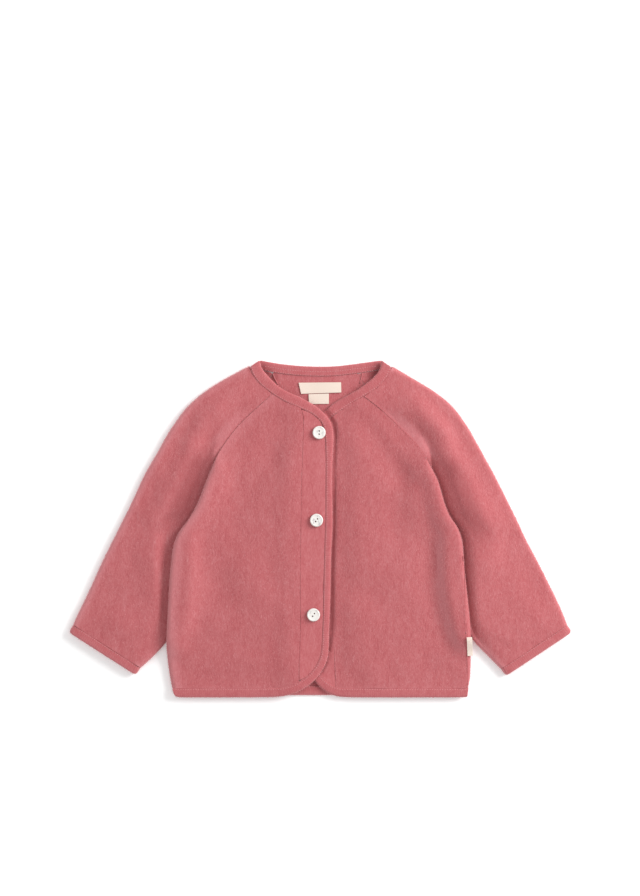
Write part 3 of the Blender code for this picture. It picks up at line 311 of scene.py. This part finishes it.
# Where the edge of the overlap presses a groove into the cloth under it. Columns: Y, X, depth, in millimetres.
OVERLAP_EDGE = [
    (-150.0, -7.6, 0.0), (-142.0, -1.2, 2.2), (-129.0, 4.0, 3.0), (-116.0, 7.4, 3.4), (-104.0, 9.4, 3.6),
    (-96.0, 10.2, 3.4), (-80.0, 10.6, 2.6), (-50.0, 10.6, 2.6), (-20.0, 11.6, 2.6), (0.0, 12.6, 2.4),
    (20.0, 12.6, 2.1), (40.0, 12.6, 1.3), (60.0, 12.4, 1.2), (84.0, 13.4, 1.3), (92.0, 14.8, 1.9),
    (100.0, 13.8, 2.5), (106.0, 12.4, 2.6), (112.0, 8.8, 2.5), (118.0, 4.4, 2.4), (125.0, -0.6, 0.0),
]
GROOVE_WIDTH = 0.0028
GROOVE_SHADE_WIDTH = 0.0017


def press_groove(piece):
    """Presses the groove of the overlap into a piece that lies under it, and paints shade along its foot."""
    spots, _ = laid_points(piece)
    line = np.array(OVERLAP_EDGE) * MM
    middle = np.interp(spots[:, 1], line[:, 0], line[:, 1])
    deep = np.interp(spots[:, 1], line[:, 0], line[:, 2])
    across = spots[:, 0] - middle
    spots[:, 2] -= deep * np.exp(-((across / GROOVE_WIDTH) ** 2)) * (spots[:, 2] > LYING_ON_TABLE)
    lay(piece, spots)
    # Painted shade at the foot of the groove, where the overlap's edge casts its shadow.
    pressed = np.clip((deep - 0.0009) / 0.0017, 0.0, 1.0)
    paint_shade_and_light(piece, -0.5 * pressed * np.exp(-((across / GROOVE_SHADE_WIDTH) ** 2)))


for side, name in ((-1, "right"), (1, "left")):
    front = cut_piece(f"front_{name}_cloth", f"front_{name}")
    slacken(front, 0.0006, 0.038, 6.0 + side)
    if name == "right":
        # The side of the right front, where it rolls on to the sleeve, is painted paler: a painted highlight, weaker
        # above Y 30 mm.
        out, along = beside_body(front, name)
        paint_shade_and_light(front, 0.30 * np.interp(out, (-13.0, -5.0), (0.0, 1.0)) * np.interp(along, (30.0, 60.0), (1.0, 0.55)))
    else:
        press_groove(front)
    dressed(front, body_fleece, "fleece", f"front_{name}")

# ---------------------------------------------------------------------------------------------------------------------
# Button strips. A strip of the same cloth runs from the neck to the hem on each front, sewn on between the panel and
# the binding. It carries the buttons and their holes, and its pile is pressed flat.

strip_fleece = brushed_fleece("pressed_fleece", 0.0, 0.05, 0.45)
for name in ("right", "left"):
    strip = cut_piece(f"strip_{name}_cloth", f"placket_{name}", 0.7)
    slacken(strip, 0.0003, 0.030, 9.0)
    if name == "left":
        press_groove(strip)
    dressed(strip, strip_fleece, "fleece_strip", f"placket_{name}")

# ---------------------------------------------------------------------------------------------------------------------
# Bindings. A strip of the cloth, folded over each raw edge and sewn through: round both fronts and the neck, along the
# back hem, and round the cuffs. It lies closer and smoother than the panels.

# Inner lines of the bindings, X and Y in millimetres: up the straight front edge, then round the neck to the shoulder.
EDGE_LINE_RIGHT = [
    (1.8, -104.0), (2.7, -72.0), (3.8, -29.0), (5.2, 9.0), (5.2, 52.0), (5.4, 72.0), (5.0, 87.0),
    (4.2, 96.5), (2.9, 103.0), (-0.6, 108.8), (-5.4, 112.9), (-11.2, 116.9), (-18.6, 119.9), (-27.0, 123.6),
    (-35.4, 127.2), (-45.5, 133.2), (-52.5, 138.4), (-59.0, 143.4), (-65.4, 150.6), (-69.0, 157.0), (-70.0, 162.2),
]
STRAIGHT_EDGE = EDGE_LINE_RIGHT[:7]
EDGE_LINE_LEFT = [
    (-7.5, -110.0), (-8.0, -36.0), (-8.1, 48.0), (-7.9, 73.0), (-6.8, 87.0), (-4.0, 96.6), (1.0, 103.6),
    (8.0, 109.6), (15.0, 115.6), (22.5, 119.6), (31.5, 126.0), (40.0, 130.6), (47.0, 135.0), (56.0, 140.2),
    (61.8, 146.0), (66.8, 152.4), (69.6, 157.4), (70.4, 161.8),
]
# The rounded lower corners: where the hem's straight line ends, X and Y, and how far the corner runs across and up.
RIGHT_CORNER = (-48.0, -116.0, 49.6, 43.2)
LEFT_CORNER = (23.7, -123.0, 31.2, 36.2)
HEM_LINE = -159.2
HEM_END = 148.2
EDGES = ((-1, "right", EDGE_LINE_RIGHT, RIGHT_CORNER), (1, "left", EDGE_LINE_LEFT, LEFT_CORNER))
# The top edge of the back neck, from shoulder to shoulder.
NECK_LINE = [
    (-56.0, 168.0), (-48.9, 166.6), (-40.3, 165.1), (-28.8, 163.8), (-17.4, 162.9), (-3.0, 162.4),
    (6.7, 162.5), (18.2, 163.0), (29.7, 164.5), (41.2, 166.0), (49.8, 167.2), (56.0, 168.0),
]
# The cuffs' outer and inner corners, and the way up the sleeve from them.
CUFF_WAY = {"right": ((-252.2, -103.0), (-184.6, -146.3), (0.539, 0.843)),
            "left": ((251.6, -103.0), (185.2, -147.2), (-0.555, 0.832))}
# How far the outer edge of the overlap is pulled in by its stitches. Columns: Y, distance, in millimetres.
PULLED_IN = [(-124.0, 0.0), (-106.0, 1.1), (-50.0, 1.1), (-20.0, 1.2), (0.0, 0.5), (20.0, 0.8), (40.0, 1.8),
             (60.0, 1.8), (76.0, 1.3), (90.0, 0.6), (102.0, 0.0)]
RUN_STEP = 0.5
RIB_PITCH = 2.1


def evenly(points, pitch):
    """The same line with a point every pitch millimetres."""
    line = np.array(points, float)
    run = np.concatenate([[0.0], np.cumsum(np.linalg.norm(np.diff(line, axis=0), axis=1))])
    stops = np.arange(pitch / 2, run[-1], pitch)
    return np.stack([np.interp(stops, run, line[:, k]) for k in (0, 1)], axis=1)


def headings(plan):
    """Which way a line of points runs at each of them."""
    way = np.gradient(plan, axis=0)
    return way / np.linalg.norm(way, axis=1, keepdims=True)


def front_line(side, points, corner, offset):
    """Inner line of a front's binding, moved into the binding: hem, rounded corner, front edge, neck."""
    x, y, across, down = corner
    turns = np.linspace(0.0, math.pi / 2, 24)[1:-1]
    line = [(side * HEM_END, HEM_LINE - offset), (x, HEM_LINE - offset)]
    line += [(x - side * (across + offset) * math.sin(t), y - (down + offset) * math.cos(t)) for t in turns]
    plan = np.array(points)
    way = headings(plan)
    square = np.stack([way[:, 1], -way[:, 0]], axis=1) * -side
    return line + [tuple(p) for p in plan + square * offset]


def cuff_line(name, up):
    """A line across a cuff, a given distance up from its edge."""
    outer, inner, way = (np.array(v) for v in CUFF_WAY[name])
    return [tuple(outer + way * up), tuple(inner + way * up)]


def planted(line):
    """A tree that finds which of these places, in metres, lies nearest in plan."""
    tree = KDTree(max(len(line), 1))
    for place, (x, y) in enumerate(line):
        tree.insert((x, y, 0.0), place)
    tree.balance()
    return tree


def measured(piece, line):
    """Writes on each point of a binding how far along its line it lies, in millimetres."""
    tree = planted([(x * MM, y * MM) for x, y in evenly(line, RUN_STEP)])
    runs = [tree.find((p.co.x, p.co.y, 0.0))[1] * RUN_STEP for p in piece.data.vertices]
    layer = piece.data.attributes.new("run", "FLOAT", "POINT")
    layer.data.foreach_set("value", runs)


def ribbed(finish):
    """Fine ribs 2 mm apart across a binding, as its stitched fold pulls them up, as stripes of painted shade."""
    shader = finish.node_tree.nodes["Principled BSDF"]
    wool = Thread(finish.node_tree, shader.inputs["Base Color"].links[0].from_socket)
    run = wool.node("ShaderNodeAttribute", {"attribute_name": "run", "take": "Fac"})
    wave = run.node("ShaderNodeMath", {"operation": "SINE"}, i0=run * (2.0 * math.pi / RIB_PITCH))
    wool.mixed(FLEECE_DEEP, wave.ramp((0.0, 0.30), (0.55, 0.0))).lead(shader, "Base Color")
    return finish


def pull_in(binding):
    """Draws the straight outer edge of the overlap towards its inner line, the edge most."""
    spots, _ = laid_points(binding)
    line = np.array(PULLED_IN) * MM
    inner = np.array(STRAIGHT_EDGE) * MM
    start = np.interp(spots[:, 1], inner[:, 1], inner[:, 0])
    share = np.clip((spots[:, 0] - start - 0.002) / 0.006, 0.0, 1.0)
    spots[:, 0] -= np.interp(spots[:, 1], line[:, 0], line[:, 1]) * share
    lay(binding, spots)


def round_corner(binding, corner, other, radius):
    """Rounds the corner of a strip where it turns at its fold. Other is the far end of the edge that starts there."""
    corner, other = np.array(corner) * MM, np.array(other) * MM
    along = (other - corner) / np.linalg.norm(other - corner)
    way = np.array((-along[1], along[0])) * math.copysign(1.0, along[0])
    spots, _ = laid_points(binding)
    off = spots[:, :2] - corner
    reach = radius - np.stack([off @ along, off @ way], axis=1)
    beyond = np.clip(1.0 - radius / np.linalg.norm(reach, axis=1), 0.0, 1.0) * (reach > 0.0).all(axis=1)
    spots[:, :2] += (reach[:, :1] * along + reach[:, 1:] * way) * beyond[:, None]
    lay(binding, spots)


binding_fleece = ribbed(brushed_fleece("bound_fleece", 0.0, 0.04, 0.5))
# Node, length of the strip in metres, and its middle line.
BINDINGS = [
    ("binding_front_right", 0.475, front_line(-1, EDGE_LINE_RIGHT, RIGHT_CORNER, 3.5)),
    ("binding_front_left", 0.475, front_line(1, EDGE_LINE_LEFT, LEFT_CORNER, 3.5)),
    ("binding_neck_back", 0.128, [(x, y - 5.0) for x, y in NECK_LINE]),
    ("binding_hem_back", 0.288, [(-147.0, -162.0), (147.0, -162.0)]),
    ("binding_cuff_right", 0.166, cuff_line("right", 4.5)),
    ("binding_cuff_left", 0.164, cuff_line("left", 4.5)),
]
for node, length, line in BINDINGS:
    binding = cut_piece(node + "_cloth", node, 0.35)
    measured(binding, line)
    if node == "binding_front_left":
        press_groove(binding)
    if node == "binding_front_right":
        pull_in(binding)
    if "cuff" in node:
        outer, inner, _ = CUFF_WAY[node.split("_")[-1]]
        round_corner(binding, outer, inner, 0.0045)
        round_corner(binding, inner, outer, 0.0045)
    if node in ("binding_front_right", "binding_hem_back"):
        round_corner(binding, (-147.0, -168.4), (0.0, -168.4), 0.0065)
    dressed(binding, binding_fleece, "fleece_binding", node)

# Painted shade in the two corners of the neck, where the bindings meet over a hollow. Columns: X, Y, in metres.
NECK_CORNERS = [(-0.0575, 0.1610), (-0.0530, 0.1570), (-0.0485, 0.1515),
                (0.0610, 0.1605), (0.0555, 0.1575), (0.0515, 0.1545)]
DARKEST_PAINTED_SHADE = -0.95
for name in ("back_panel", "sleeve_right_cloth", "sleeve_left_cloth", "binding_neck_back_cloth"):
    piece = bpy.data.objects[name]
    plan = laid_points(piece)[0][:, :2]
    near = np.min([np.linalg.norm(plan - corner, axis=1) for corner in NECK_CORNERS], axis=0)
    paint_shade_and_light(piece, DARKEST_PAINTED_SHADE * np.exp(-((near / 0.0050) ** 2)), 0.5, DARKEST_PAINTED_SHADE)

# ---------------------------------------------------------------------------------------------------------------------
# Buttons. Three discs turned from shell, 13.3 mm across, polished, with a raised rim and two holes. They are sewn to
# the left strip and stand in the right one's buttonholes.

shell, shell_shader, shell_place = new_finish("shell")
layers = shell_place.stretched((1.0, 0.5, 1.0), 0.7).cloud(420.0, 2.0, 0.5, 1.5)
lustre = layers.ramp((0.30, (0.52, 0.50, 0.50)), (0.42, (0.78, 0.74, 0.70)), (0.58, (0.84, 0.81, 0.77)),
                     (0.70, (0.72, 0.72, 0.70)))
lustre.lead(shell_shader, "Base Color")
shell_shader.inputs["Roughness"].default_value = 0.22
shell_shader.inputs["Coat Weight"].default_value = 0.4
shell_shader.inputs["Coat Roughness"].default_value = 0.08
for name in ("top", "middle", "bottom"):
    button = cut_piece(f"button_{name}_shell", f"button_{name}", 0.18, 1, 0.0)
    dressed(button, shell, "shell", f"button_{name}")

# ---------------------------------------------------------------------------------------------------------------------
# Labels. Woven cream tape, cut and folded: the neck label and the size tab are sewn to the back panel inside the neck,
# and a small tab is caught in the left side seam.


def woven_tape(name, low, high):
    """Smooth tape of fine weft and warp, dyed between two creams."""
    made, shader, place = new_finish(name)
    weft, warp = (place.node("ShaderNodeTexWave", {"bands_direction": way, "take": "Fac"}, Vector=place, Scale=scale,
                             Distortion=0.4) for way, scale in (("Y", 500.0), ("X", 420.0)))
    weave = weft * 0.5 + warp * 0.5
    shader.inputs["Roughness"].default_value = 0.75
    weave.ramp((0.1, low), (0.9, high)).lead(shader, "Base Color")
    weave.node("ShaderNodeBump", None, Strength=0.4, Distance=0.0002, Height=weave).lead(shader, "Normal")
    return made


neck_tape = woven_tape("woven_tape", (0.72, 0.59, 0.50), (0.84, 0.72, 0.63))
# The side tab is the same tape painted paler: painted light for the shade that it lies in beside the body.
paler_painted_tab_tape = woven_tape("woven_tape_painted_paler", (0.80, 0.66, 0.57), (0.93, 0.79, 0.69))
for node, tape, flat, area in (("label_neck", neck_tape, (0.0430, 0.0110), None),
                               ("label_size", neck_tape, (0.0206, 0.0106), None),
                               ("label_side", paler_painted_tab_tape, (0.0106, 0.0196), 0.00012)):
    label = cut_piece(node + "_tape", node, 0.15, 2, 0.0)
    dressed(label, tape, "woven_label", node)

# ---------------------------------------------------------------------------------------------------------------------
# Seam allowances. Behind each seam the raw edges of the fleece lie together, sewn through, so a seam shows as a soft
# groove with cloth at its foot. Inside the neck they make a low ridge between each sleeve and the back.

SIDE_SEAM = [(144.7, -104.0), (143.6, -90.0), (143.25, -70.0), (142.9, -52.0), (142.6, -41.0), (141.9, -26.0)]
SIDE_SEAM_LOW = [(146.4, -160.5), (146.6, -155.0), (146.9, -148.0), (146.5, -140.0), (146.2, -130.0), (145.6, -120.0),
                 (145.0, -110.0), (144.7, -104.0)]
SIDE_SEAM_END = [(147.0, -155.5), (146.9, -161.5)]
NECK_RIDGES = {"right": [(-48.5, 157.5), (-46.0, 151.0), (-42.5, 144.0)],
               "left": [(42.2, 158.0), (41.0, 151.0), (39.4, 145.0)]}
# Y along a front's binding: where its seam with the front starts above the button strip and ends, where its seam with
# the sleeve starts, and where its seam at the hem ends.
CHEST_FROM = {"right": 117.0, "left": 116.0}
CHEST_TO = 134.0
SLEEVE_FROM = {"right": 133.5, "left": 131.0}
HEM_TO = -148.0
SEAM_DEPTH = 0.75
# Heights clear above and below the jacket, in metres.
ABOVE, BELOW = 0.05, -0.02
UP, DOWN = Vector((0.0, 0.0, 1.0)), Vector((0.0, 0.0, -1.0))
CLOTH = ["back_panel", "sleeve_right_cloth", "sleeve_left_cloth", "front_right_cloth", "front_left_cloth",
         "strip_right_cloth", "strip_left_cloth"] + [row[0] + "_cloth" for row in BINDINGS]
bpy.context.view_layer.update()
lying = bpy.context.evaluated_depsgraph_get()
surfaces = {name: BVHTree.FromObject(bpy.data.objects[name], lying) for name in CLOTH}


def skin(name, x, y, below=False):
    """Height of a piece's upper or under side at a place, or nothing beside it."""
    hit = surfaces[name].ray_cast(Vector((x * MM, y * MM, BELOW if below else ABOVE)), UP if below else DOWN)[0]
    return None if hit is None else hit.z


def sewn_in(name, mesh, finish, slot, smooth=True):
    """Makes a mesh into a piece that lies with the cloth."""
    made = bpy.data.objects.new(name, mesh)
    bpy.context.scene.collection.objects.link(made)
    mesh.polygons.foreach_set("use_smooth", [smooth] * len(mesh.polygons))
    return dressed(made, finish, slot)


def cords(name, lines, radius, finish):
    """Round cords of six sides through given points, each closed at both ends, as one piece."""
    body = bmesh.new()
    for line in lines:
        rings = []
        for k, spot in enumerate(line):
            way = (line[min(k + 1, len(line) - 1)] - line[max(k - 1, 0)]).normalized()
            across = way.cross(UP).normalized()
            up = across.cross(way)
            turns = [turn * math.pi / 3 for turn in range(6)]
            rings.append([body.verts.new(spot + (across * math.cos(a) + up * math.sin(a)) * radius) for a in turns])
        for low, high in zip(rings, rings[1:]):
            for turn in range(6):
                body.faces.new((low[turn], low[(turn + 1) % 6], high[(turn + 1) % 6], high[turn]))
        body.faces.new(rings[0][::-1])
        body.faces.new(rings[-1])
    bmesh.ops.recalc_face_normals(body, faces=body.faces)
    mesh = bpy.data.meshes.new(name)
    body.to_mesh(mesh)
    body.free()
    return sewn_in(name, mesh, finish, "fleece")


def seam_foot(points, pair, depth, pitch=1.5, beside=0.9):
    """Points along a seam, a given depth under the lower of the pieces that meet there. All in millimetres."""
    plan = evenly(points, pitch)
    line = []
    for (x, y), (dx, dy) in zip(plan, headings(plan)):
        heights = []
        for s in (-1, 1):
            found = [skin(name, x + s * dy * beside, y - s * dx * beside) for name in pair]
            found = [high for high in found if high is not None]
            heights += [max(found)] if found else []
        if heights:
            line.append(Vector((x * MM, y * MM, min(heights) - depth * MM)))
    return line


feet = []
for side, name, line, corner in EDGES:
    seam = front_line(side, line, corner, 0.0)
    sleeve, front, bound = f"sleeve_{name}_cloth", f"front_{name}_cloth", f"binding_front_{name}_cloth"
    feet.append(seam_foot([p for p in seam if p[1] > SLEEVE_FROM[name]], (sleeve, bound), SEAM_DEPTH))
    feet.append(seam_foot([p for p in seam if CHEST_FROM[name] < p[1] < CHEST_TO], (front, bound), SEAM_DEPTH))
    feet.append(seam_foot([p for p in seam if p[1] < HEM_TO], (front, bound), SEAM_DEPTH))
    cuff = evenly(cuff_line(name, 9.05), 1.5)[2:-2]
    feet.append(seam_foot(cuff, (sleeve, f"binding_cuff_{name}_cloth"), SEAM_DEPTH))
feet.append(seam_foot(SIDE_SEAM, ("front_left_cloth", "back_panel"), 0.40))
for name, ridge in NECK_RIDGES.items():
    feet.append(seam_foot(ridge, (f"sleeve_{name}_cloth", "back_panel"), -0.15))
side_foot = seam_foot(SIDE_SEAM_LOW, ("front_left_cloth", "back_panel"), 0.70)
side_end = seam_foot(SIDE_SEAM_END, ("front_left_cloth", "back_panel", "binding_front_left_cloth"), 1.1)
cords("seam_allowances", [foot for foot in feet if len(foot) > 2], 0.0006, body_fleece)
cords("side_seam_allowance", [side_foot, side_end], 0.0009, body_fleece)

# ---------------------------------------------------------------------------------------------------------------------
# Stitching. Pale thread holds each binding: a row of short stitches just inside its inner line, through all its
# layers, so that it shows on both faces. The back neck has a second row.

STITCH_PITCH = 2.5
STITCH_SIZE = (0.0015, 0.00028, 0.00020)
HIDDEN_UNDER = 0.0004


def stitch_rows(name, rows, finish):
    """One piece with all the stitches of a binding: small capsules with two rings of six points, sunk by half."""
    shape = [(-0.5, 0.0, 0.0)]
    for s in (-0.3, 0.3):
        shape += [(s, math.cos(t * math.pi / 3), math.sin(t * math.pi / 3)) for t in range(6)]
    shape.append((0.5, 0.0, 0.0))
    shape = np.array(shape)
    shell_faces = [(0, 1 + (t + 1) % 6, 1 + t) for t in range(6)]
    shell_faces += [(1 + t, 1 + (t + 1) % 6, 7 + (t + 1) % 6, 7 + t) for t in range(6)]
    shell_faces += [(7 + t, 7 + (t + 1) % 6, 13) for t in range(6)]
    points, faces = [], []
    for piece, line, below in rows:
        plan = evenly(line, STITCH_PITCH)
        for (x, y), (dx, dy) in zip(plan, headings(plan)):
            high = skin(piece, x, y, below)
            if high is None:
                continue
            others = [skin(other, x, y, below) for other in CLOTH if other != piece]
            outward = -1.0 if below else 1.0
            if any(other is not None and (other - high) * outward > HIDDEN_UNDER for other in others):
                continue
            middle = np.array([x * MM, y * MM, high + (0.00005 if below else 0.00002)])
            axes = np.array([(dx, dy, 0.0), (-dy, dx, 0.0), (0.0, 0.0, 1.0)])
            first = len(points)
            points += [tuple(middle + (corner * STITCH_SIZE) @ axes) for corner in shape]
            faces += [tuple(first + k for k in face) for face in shell_faces]
    mesh = bpy.data.meshes.new(name)
    mesh.from_pydata(points, [], faces)
    mesh.update()
    return sewn_in(name, mesh, finish, "fleece_binding")


thread, thread_shader, thread_place = new_finish("pale_thread")
twist = thread_place.cloud(2600.0, 1.0, 0.5)
twist.ramp((0.35, (0.50, 0.18, 0.19)), (0.65, (0.65, 0.32, 0.33))).lead(thread_shader, "Base Color")
thread_shader.inputs["Roughness"].default_value = 0.6
for side, name, line, corner in EDGES:
    for place, held in (("front", front_line(side, line, corner, 1.3)), ("cuff", cuff_line(name, 7.9))):
        rows = [(f"binding_{place}_{name}_cloth", held, below) for below in (False, True)]
        stitch_rows(f"stitches_{place}_{name}", rows, thread)
back_rows = [("binding_neck_back_cloth", [(x, y - drop) for x, y in NECK_LINE], False) for drop in (5.0, 8.7)]
back_rows += [("binding_hem_back_cloth", [(-145.0, -158.2), (145.0, -158.2)], below) for below in (False, True)]
stitch_rows("stitches_back", back_rows, thread)

# ---------------------------------------------------------------------------------------------------------------------
# Nap. Loose ends of wool stand up out of the brushed cloth and lean down the pile. They are thickest at its turned
# edges, where the pile opens; those edges are painted paler, a painted highlight, and the ends make the outline soft.

CLOSE_TO_TABLE = 0.0008
# A rim is free if no cloth stands this near beside it or lies this near beyond it, and its own piece isn't in the way.
FREE_BESIDE, FREE_BEYOND, FREE_OF_ITSELF = 0.005, 0.0025, 0.12
# The way from the light, along X and Y.
FROM_LIGHT = (-0.88, -0.47)


def paint_rim_highlights(piece_name, reach, share, most):
    """Painted highlight along free rims and a little way in, most on those turned from the lamp, at the lower left."""
    piece = bpy.data.objects[piece_name]
    spots, facing = laid_points(piece)
    others = [surfaces[other] for other in CLOTH if other != piece_name]
    turned = np.clip((0.975 - facing[:, 2]) / 0.45, 0.0, 1.0) * np.clip((facing[:, 2] + 0.5) / 0.3, 0.0, 1.0)
    shade = np.zeros(len(spots))
    rims = []
    for k in np.flatnonzero(turned > 0.02):
        level = Vector((facing[k][0], facing[k][1], 0.0))
        if level.length < 0.05 or spots[k][2] < CLOSE_TO_TABLE:
            continue
        level.normalize()
        spot = Vector(spots[k]) + level * 0.0001
        if surfaces[piece_name].ray_cast(spot + level * 0.0003, level, FREE_OF_ITSELF)[0] is not None:
            continue
        if any(tree.ray_cast(spot, level, FREE_BESIDE)[0] is not None for tree in others):
            continue
        beyond = (spot + level * FREE_BEYOND) / MM
        if "front" not in piece_name and any(skin(name, beyond.x, beyond.y) is not None for name in CLOTH):
            continue
        away = min(max(0.5 + FROM_LIGHT[0] * level.x + FROM_LIGHT[1] * level.y, 0.0), 1.0)
        shade[k] = 1.05 * turned[k] * (0.08 + 0.92 * away)
        if facing[k][2] < 0.25:
            rims.append((spots[k][0], spots[k][1], away))
    tree = planted([(x, y) for x, y, _ in rims])
    for k in np.flatnonzero(facing[:, 2] > 0.3) if rims else ():
        _, place, gap = tree.find((spots[k][0], spots[k][1], 0.0))
        if gap < reach:
            shade[k] = max(shade[k], share * rims[place][2] * (1.0 - gap / reach))
    paint_shade_and_light(piece, shade, most, DARKEST_PAINTED_SHADE)


# Start of the piece's name, how far the painted highlight reaches in from a rim, how strongly, and the palest it gets.
PAINTED_RIM_HIGHLIGHTS = [("sleeve", 0.0075, 0.60, 0.9), ("binding_front", 0.004, 0.10, 0.10), ("front", 0.003, 0.10, 0.45),
             ("", 0.005, 0.25, 0.8)]
for piece_name in CLOTH:
    paint_rim_highlights(piece_name, *next(row[1:] for row in PAINTED_RIM_HIGHLIGHTS if piece_name.startswith(row[0])))

# How many ends stand on a turned edge, the upper side and the under side, for their size.
TURNED_SHARE, UPPER_SHARE, UNDER_SHARE = 12.0, 1.0, 0.35
END_LENGTH = (0.0008, 0.0019)
END_RADIUS = 0.00006
ROOT_DEPTH = 0.0002
STANDING, LEANING, STRAYING = 0.8, 0.7, 0.35
FREE_ABOVE = 0.006
# The ends are paler than the cloth: partly their own colour, partly painted light for the light that shines through
# them at the rims.
fibre_end_painted_pale, end_shader, _ = new_finish("pale_painted_fibre_ends")
end_shader.inputs["Base Color"].default_value = (0.72, 0.33, 0.345, 1.0)
end_shader.inputs["Roughness"].default_value = 0.9


def nap(name, piece_name, count, lean, slot, seed):
    """Tapered ends of wool, of three sides, on the outside of a piece, more of them where it turns away."""
    draw = np.random.default_rng(seed)
    mesh = bpy.data.objects[piece_name].data
    mesh.calc_loop_triangles()
    spots, _ = laid_points(bpy.data.objects[piece_name])
    cells = np.empty(len(mesh.loop_triangles) * 3, dtype=np.int32)
    mesh.loop_triangles.foreach_get("vertices", cells)
    corners = spots[cells.reshape(-1, 3)]
    square = np.cross(corners[:, 1] - corners[:, 0], corners[:, 2] - corners[:, 0])
    size = np.linalg.norm(square, axis=1)
    normal = square / np.maximum(size, 1e-12)[:, None]
    level = np.where(normal[:, 2] > 0.0, UPPER_SHARE, UNDER_SHARE)
    weight = size * np.where(np.abs(normal[:, 2]) < 0.6, TURNED_SHARE, level)
    picks = draw.choice(len(size), int(count * 1.6), p=weight / weight.sum())
    a, b = np.sqrt(draw.random(len(picks)))[:, None], draw.random(len(picks))[:, None]
    root = corners[picks, 0] * (1 - a) + corners[picks, 1] * a * (1 - b) + corners[picks, 2] * a * b
    stray = draw.normal(0.0, STRAYING, (len(picks), 3))
    way = normal[picks] * STANDING + np.array(lean) * LEANING + stray
    way /= np.linalg.norm(way, axis=1, keepdims=True)
    long = draw.uniform(*END_LENGTH, len(picks))
    others = [surfaces[other] for other in CLOTH if other != piece_name]
    points, faces = [], []
    for k in range(len(picks)):
        if len(faces) >= count * 4:
            break
        if root[k][2] < CLOSE_TO_TABLE:
            continue
        spot, out = Vector(root[k]), Vector(normal[picks[k]])
        if any(tree.ray_cast(spot, out, FREE_ABOVE)[0] is not None for tree in others):
            continue
        tip = root[k] + way[k] * long[k]
        tip[2] = max(tip[2], 0.0002)
        side = np.cross(way[k], normal[picks[k]] + 0.01)
        side /= np.linalg.norm(side)
        deep = np.cross(way[k], side)
        foot = root[k] - normal[picks[k]] * ROOT_DEPTH
        first = len(points)
        turns = [turn * 2.0 * math.pi / 3.0 for turn in range(3)]
        points += [foot + (side * math.cos(t) + deep * math.sin(t)) * END_RADIUS for t in turns]
        points.append(tip)
        faces += [(first, first + 2, first + 1), (first, first + 1, first + 3), (first + 1, first + 2, first + 3),
                  (first + 2, first, first + 3)]
    cloud = bpy.data.meshes.new(name)
    cloud.from_pydata([tuple(p) for p in points], [], faces)
    cloud.update()
    return sewn_in(name, cloud, fibre_end_painted_pale, slot, smooth=False)


DOWN_BODY, DOWN_RIGHT_ARM, DOWN_LEFT_ARM = (0.0, -1.0, 0.0), (-0.54, -0.84, 0.0), (0.55, -0.83, 0.0)
# Piece, number of ends, the way they lean, and the material slot.
NAPS = [
    ("back_panel", 9000, DOWN_BODY, "fleece"),
    ("front_right_cloth", 12000, DOWN_BODY, "fleece"),
    ("front_left_cloth", 12000, DOWN_BODY, "fleece"),
    ("sleeve_right_cloth", 20000, DOWN_RIGHT_ARM, "fleece"),
    ("sleeve_left_cloth", 20000, DOWN_LEFT_ARM, "fleece"),
    ("strip_right_cloth", 800, DOWN_BODY, "fleece_strip"),
    ("binding_front_right_cloth", 6000, DOWN_BODY, "fleece_binding"),
    ("binding_front_left_cloth", 5000, DOWN_BODY, "fleece_binding"),
    ("binding_neck_back_cloth", 1200, DOWN_BODY, "fleece_binding"),
    ("binding_hem_back_cloth", 800, DOWN_BODY, "fleece_binding"),
    ("binding_cuff_right_cloth", 1400, DOWN_RIGHT_ARM, "fleece_binding"),
    ("binding_cuff_left_cloth", 1400, DOWN_LEFT_ARM, "fleece_binding"),
]
FIRST_SEED = 11
for place, (piece_name, count, lean, slot) in enumerate(NAPS):
    nap("nap_" + piece_name.replace("_cloth", ""), piece_name, count, lean, slot, FIRST_SEED + place)

# ---------------------------------------------------------------------------------------------------------------------
# Table and light. The jacket lies on a plain white table. A large soft lamp stands low at the upper right and a weak
# one at the left, and the camera looks straight down from where its picture is 896 mm high.

TABLE_HEIGHT = -0.0002
PHOTO_HEIGHT = 0.896
LENS = 85.0
SENSOR = 36.0

bpy.ops.object.select_all(action="DESELECT")
bpy.ops.mesh.primitive_plane_add(size=8.0, location=(0.0, 0.0, TABLE_HEIGHT))
table = bpy.context.object
table.name = "table"
white, white_shader, _ = new_finish("white_table")
white_shader.inputs["Base Color"].default_value = (0.95, 0.95, 0.95, 1.0)
white_shader.inputs["Roughness"].default_value = 0.9
white_shader.inputs["Emission Color"].default_value = (1.0, 1.0, 1.0, 1.0)
white_shader.inputs["Emission Strength"].default_value = 0.16
table.data.materials.append(white)

world = bpy.data.worlds.new("studio")
bpy.context.scene.world = world
world.use_nodes = True
world.node_tree.nodes["Background"].inputs["Color"].default_value = (1.0, 1.0, 1.0, 1.0)
world.node_tree.nodes["Background"].inputs["Strength"].default_value = 0.66


def soft_box(name, spot, size, power):
    """A square lamp that looks at the middle of the table."""
    lamp = bpy.data.lights.new(name, "AREA")
    lamp.shape = "SQUARE"
    lamp.size = size
    lamp.energy = power
    made = bpy.data.objects.new(name, lamp)
    made.location = spot
    made.rotation_euler = (-Vector(spot)).to_track_quat("-Z", "Y").to_euler()
    bpy.context.scene.collection.objects.link(made)
    return made


soft_box("key_light", (1.83, 0.98, 1.2), 1.2, 60.0)
soft_box("fill_light", (-1.2, 0.2, 1.8), 1.4, 3.0)

camera_data = bpy.data.cameras.new("camera")
camera_data.lens = LENS
camera = bpy.data.objects.new("camera", camera_data)
camera.location = (-0.0005, 0.081, PHOTO_HEIGHT * LENS / SENSOR + 0.006)
bpy.context.scene.collection.objects.link(camera)
bpy.context.scene.camera = camera
bpy.context.scene.view_settings.view_transform = "Standard"
